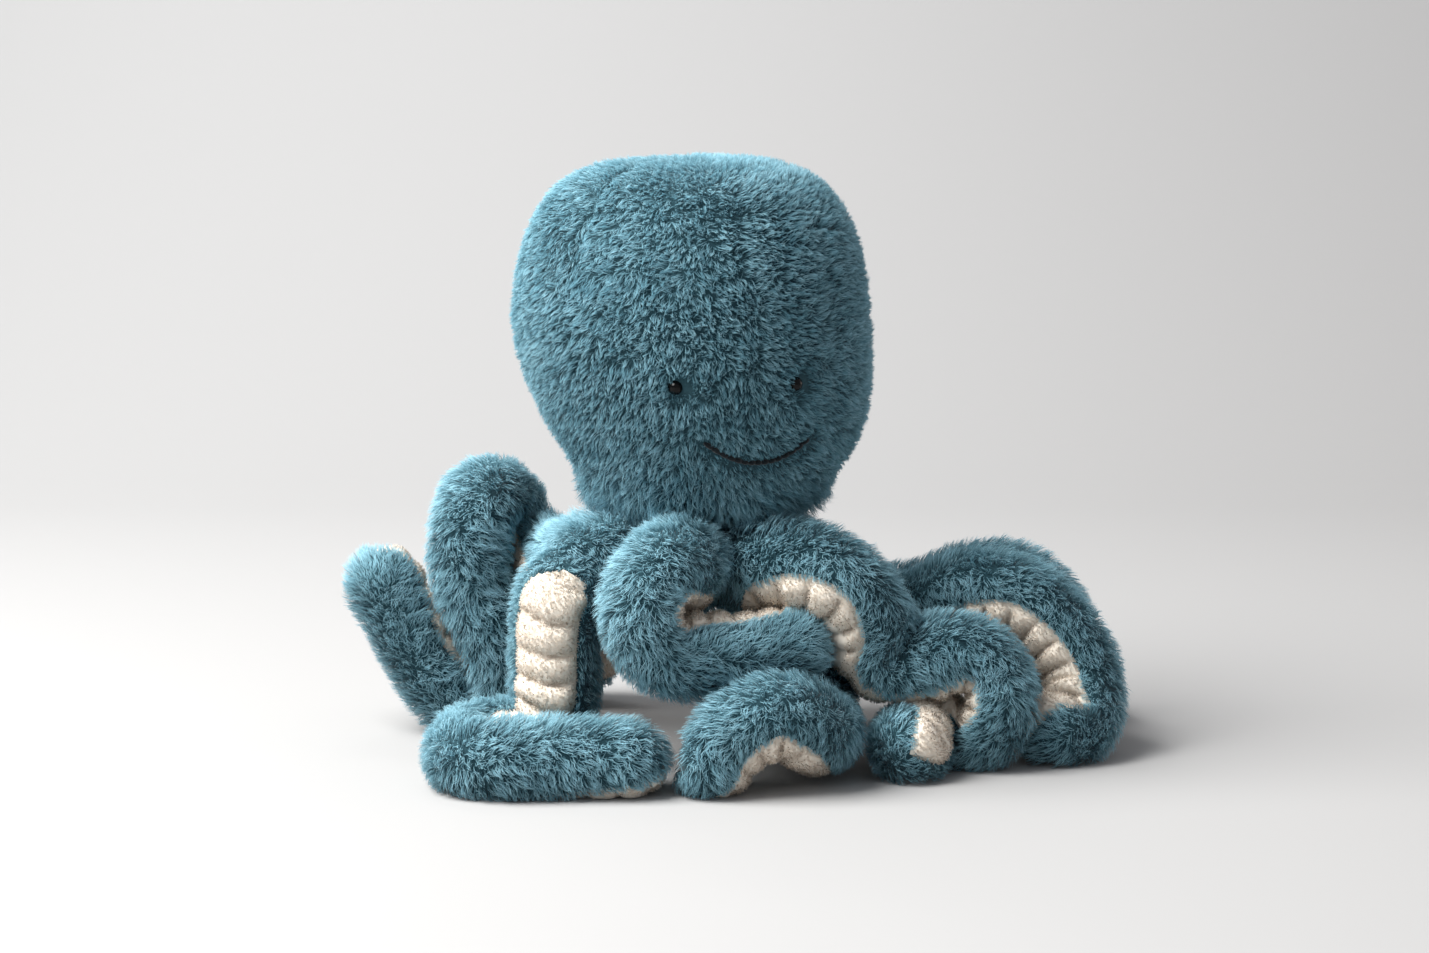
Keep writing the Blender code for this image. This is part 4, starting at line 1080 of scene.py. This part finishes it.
eye_places = [on_head(bearing, EYE_LEVEL) for bearing in EYE_BEARINGS]
mouth_places = mouth_line(33)
source = np.random.default_rng(7)
spacing = HEAD_PILE_SPACING * thin
allowed = np.ones((len(head_skin), HEAD_COLUMNS))
roots, normals, *_ = scatter(head_skin, head_normals, allowed, spacing, source)
bearing = np.arctan2(roots[:, 0], -roots[:, 1])
from_view = (bearing - VIEW_TURN + math.pi) % math.tau - math.pi
swept = ease((from_view + 0.15) / 1.1) * ease((2.6 - from_view) / 0.8)
sideways = np.cross(np.broadcast_to(UP, normals.shape), normals)
down = laid(normals, np.broadcast_to(-UP, normals.shape) - normals * 0.001)
sideways = unit(sideways + 1e-9) * (1.25 * swept - 0.15)[:, None]
lays = laid(normals, down * (1.05 - swept)[:, None] + sideways)
sway = 0.40 * drift(roots, 45 * MM, 301) + 0.45 * drift(roots, 10 * MM, 302)
sway = sway + 0.3 * drift(roots, 5 * MM, 305)
lays = turned(lays, normals, sway + source.normal(0, 0.18, len(roots)))
near_eye = np.min([np.linalg.norm(roots - place, axis=1) for place in eye_places], axis=0)
near_mouth = np.min(np.linalg.norm(roots[:, None] - mouth_places[None], axis=2), axis=1)
trim = np.clip((near_eye - 2 * MM) / (7 * MM), 0.3, 1)
trim = trim * np.clip(0.1 + near_mouth / (8 * MM), 0.2, 1)
low = ease((SKIRT_TOP - roots[:, 2]) / SKIRT_DEPTH)
brushed = ease((roots[:, 2] - BRUSHED_FROM) / BRUSHED_RISE) * ease((0.45 - from_view) / 0.5)
lengths = HEAD_PILE_LENGTH * source.uniform(0.7, 1.15, len(roots)) * trim * (1 + 1.5 * low)
lean = HEAD_PILE_LEAN + BRUSHED_LEAN * brushed + 0.22 * drift(roots, 7 * MM, 303)
places = bend_strands(roots, normals, lays, lengths, lean, source)
tuft_strands(places, HEAD_CLUMP_SIZE, spacing, 0.2, source)
tufts = tuft_strands(places, HEAD_TUFT_SIZE, spacing, 0.6, source)
tones = 0.5 + 0.14 * drift(roots, 30 * MM, 304) + 0.10 * drift(roots, 4 * MM, 306)
# Painted shade: the tone is darker round the eyes and along the smile, for the hollows they sit
# in.
tones = tones + source.normal(0, 0.12, len(roots)) - 1.2 * np.exp(-(near_eye / EYE_PAINTED_SHADE) ** 2)
tones = tones - 0.12 * brushed - 0.9 * np.exp(-(near_mouth / MOUTH_PAINTED_SHADE) ** 2)
tones = tones + source.normal(0, 0.19, tufts.max() + 1)[tufts]
kept = ~buried(places[3], -1, np.zeros(len(roots)))
kept &= (near_eye > EYE_CLEARING) & (near_mouth > MOUTH_CLEARING)
quarter = np.floor((bearing + math.pi) / (math.pi / 2)).astype(int) % 4
for index, part in enumerate(QUARTERS):
    chosen = (quarter == index) & kept
    item = ribbons(f"pile_head_{part}", [place[chosen] for place in places], normals[chosen],
                   HEAD_PILE_WIDTH * thin, tones[chosen], 0.6, blue_pile, source)
    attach(item, "head")
    print(part, "strands", chosen.sum())

# %% [markdown]
# ## Hub, smile and eyes
#
# Under the head is a small round hub, closed below by a disc of the cream cloth. Its collar
# of long pile fills the neck. The smile is one row of short stitches in dark thread, pulled
# into the pile. The eyes are glossy beads on posts.

# %% Sew the hub
HUB_BOTTOM = 0.077
HUB_TOP = 0.125
HUB_EDGE = 3 * MM
HUB_COLUMNS = 48
DISC_EDGE = HUB_BOTTOM + 1 * MM
COLLAR_FOOT, COLLAR_RISE = 0.098, 0.022
COLLAR_LENGTH, COLLAR_GAIN = 12, 5
COLLAR_LEAN, COLLAR_FALL = 0.35, 0.75
COLLAR_MARGIN = 3 * MM
DISC_LEAN = 0.6


def hub_grid():
    """Rings up the hub: round edge, straight side, then in over the neck."""
    profile = [(0.004, HUB_BOTTOM)]
    for step in range(6):
        turn = math.pi / 2 * step / 5
        profile.append((HUB_RADIUS - HUB_EDGE + HUB_EDGE * math.sin(turn),
                        HUB_BOTTOM + HUB_EDGE * (1 - math.cos(turn))))
    for step in range(1, 9):
        rise = (HUB_TOP - HUB_BOTTOM - HUB_EDGE) * step / 8
        profile.append((HUB_RADIUS, HUB_BOTTOM + HUB_EDGE + rise))
    profile.append((HUB_RADIUS - 8 * MM, HUB_TOP + 2 * MM))
    profile.append((0.006, HUB_TOP + 4 * MM))
    bearings = np.arange(HUB_COLUMNS) * math.tau / HUB_COLUMNS
    return np.array([
        [(reach * math.sin(bearing), -reach * math.cos(bearing), level) for bearing in bearings]
        for reach, level in profile
    ])


hub_skin = hub_grid()
hub_normals = surface_normals(hub_skin)
hub_turned = (hub_normals[:, :, :2] * hub_skin[:, :, :2]).sum() < 0
if hub_turned:
    hub_normals = -hub_normals
hub_cloth = tube("cloth_hub", hub_skin, hub_turned, (0, 0, HUB_BOTTOM), (0, 0, HUB_TOP + 4 * MM),
                 (cream_cloth, blue_backing_shade), np.ones(hub_skin.shape[:2]))
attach(hub_cloth, "hub")
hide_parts("hub_filling", "base_disc", "neck_collar")
source = np.random.default_rng(31)
level = hub_skin[:, :, 2]
upper = (level > DISC_EDGE).astype(float)
roots, normals, _, across, *_ = scatter(
    hub_skin, hub_normals, upper, 0.85 * PILE_SPACING * thin, source)
rise = ease((roots[:, 2] - COLLAR_FOOT) / COLLAR_RISE)
upward = source.uniform(-0.6, 0.5, len(roots)) - 1.2 * (1 - rise)
lays = laid(normals, UP * upward[:, None] + across * 0.2)
lengths = (COLLAR_LENGTH + COLLAR_GAIN * rise) * MM * source.uniform(0.7, 1.1, len(roots))
lean = COLLAR_LEAN + COLLAR_FALL * (1 - rise)
places = bend_strands(roots, normals, lays, lengths, lean, source)
tuft_strands(places, TUFT_SIZE, PILE_SPACING * thin, 0.5, source)
kept = ~in_head(places[3], COLLAR_MARGIN) & ~buried(places[3], -1, np.zeros(len(roots)))
collar = ribbons("pile_collar", [place[kept] for place in places], normals[kept],
                 PILE_WIDTH * thin, source.uniform(0.2, 0.6, kept.sum()), 0.5, blue_pile, source)
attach(collar, "hub")
lower = (level < DISC_EDGE).astype(float)
roots, normals, _, across, *_ = scatter(hub_skin, hub_normals, lower, NAP_SPACING * thin, source)
lays = turned(laid(normals, across), normals, source.uniform(-math.pi, math.pi, len(roots)))
places = bend_strands(roots, normals, lays, np.full(len(roots), NAP_LENGTH), DISC_LEAN, source)
nap = ribbons("nap_base_disc", places, normals, NAP_WIDTH * thin,
              source.uniform(0.3, 0.8, len(roots)), 0.6, cream_nap, source)
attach(nap, "hub")
print("collar strands", kept.sum())

# %% Stitch the smile
STITCHES = 15
STITCH_STEPS = 8
STITCH_CORNERS = 8
STITCH_LIFT = 0.9 * MM
STITCH_SINK = 0.2 * MM
THREAD_RADIUS = 1.25 * MM
THREAD_COLOURS = ((0.003, 0.005, 0.007), (0.008, 0.012, 0.015))
thread_material = cloth_material("dark_thread", *THREAD_COLOURS, 1500, 0.8)


def stitch_line(count):
    """Stitches as short fat tubes, each dipping into the cloth at both ends."""
    made = []
    fine = mouth_line(count * STITCH_STEPS + 1)
    for stitch in range(count):
        first = stitch * STITCH_STEPS
        places = fine[max(first - 1, 0):first + STITCH_STEPS + 2]
        axis = unit(places[-1] - places[0])
        outward = unit(places.mean(axis=0) * (1, 1, 0))
        across = np.cross(axis, outward)
        rings = []
        for place, share in zip(places, np.linspace(0, 1, len(places))):
            swell = 0.45 + 0.55 * math.sin(math.pi * share) ** 0.6
            lift = STITCH_LIFT * math.sin(math.pi * share) - STITCH_SINK
            ring = []
            for corner in range(STITCH_CORNERS):
                turn = math.tau * corner / STITCH_CORNERS
                round_it = outward * math.cos(turn) + across * math.sin(turn)
                ring.append(place + outward * lift + round_it * THREAD_RADIUS * swell)
            rings.append(ring)
        made.append(np.array(rings))
    return made


def tube_stack(name, stitches, material):
    """Closed tubes, one for each stitch, in one mesh."""
    vertices, corners, sizes, total = [], [], [], 0
    cap = np.arange(STITCH_CORNERS)
    for grid in stitches:
        rows = len(grid)
        quads = ring_faces(rows, STITCH_CORNERS, True) + total
        vertices.append(grid.reshape(-1, 3))
        corners += [quads.ravel(), cap[::-1] + total, cap + total + (rows - 1) * STITCH_CORNERS]
        sizes += [4] * len(quads) + [STITCH_CORNERS] * 2
        total += rows * STITCH_CORNERS
    item = build_mesh(name, np.concatenate(vertices), np.concatenate(corners),
                      np.array(sizes), (material,))
    item.data.shade_smooth()
    return item


smile = tube_stack("stitched_smile", stitch_line(STITCHES), thread_material)
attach(smile, "head")
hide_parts("mouth_thread")
print("stitches", STITCHES)

# %% Polish the eyes
bead = plain_material("black_bead", (0.001, 0.001, 0.001), 0.05, 0.18)
washer = cloth_material("white_washer", (0.70, 0.70, 0.68), (0.80, 0.80, 0.78), 300, 0.45)
for side in ("left", "right"):
    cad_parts[f"eye_{side}"].material_slots[0].material = bead
    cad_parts[f"eye_washer_{side}"].material_slots[0].material = washer
print("eyes", [round(value, 4) for value in eye_places[0]])
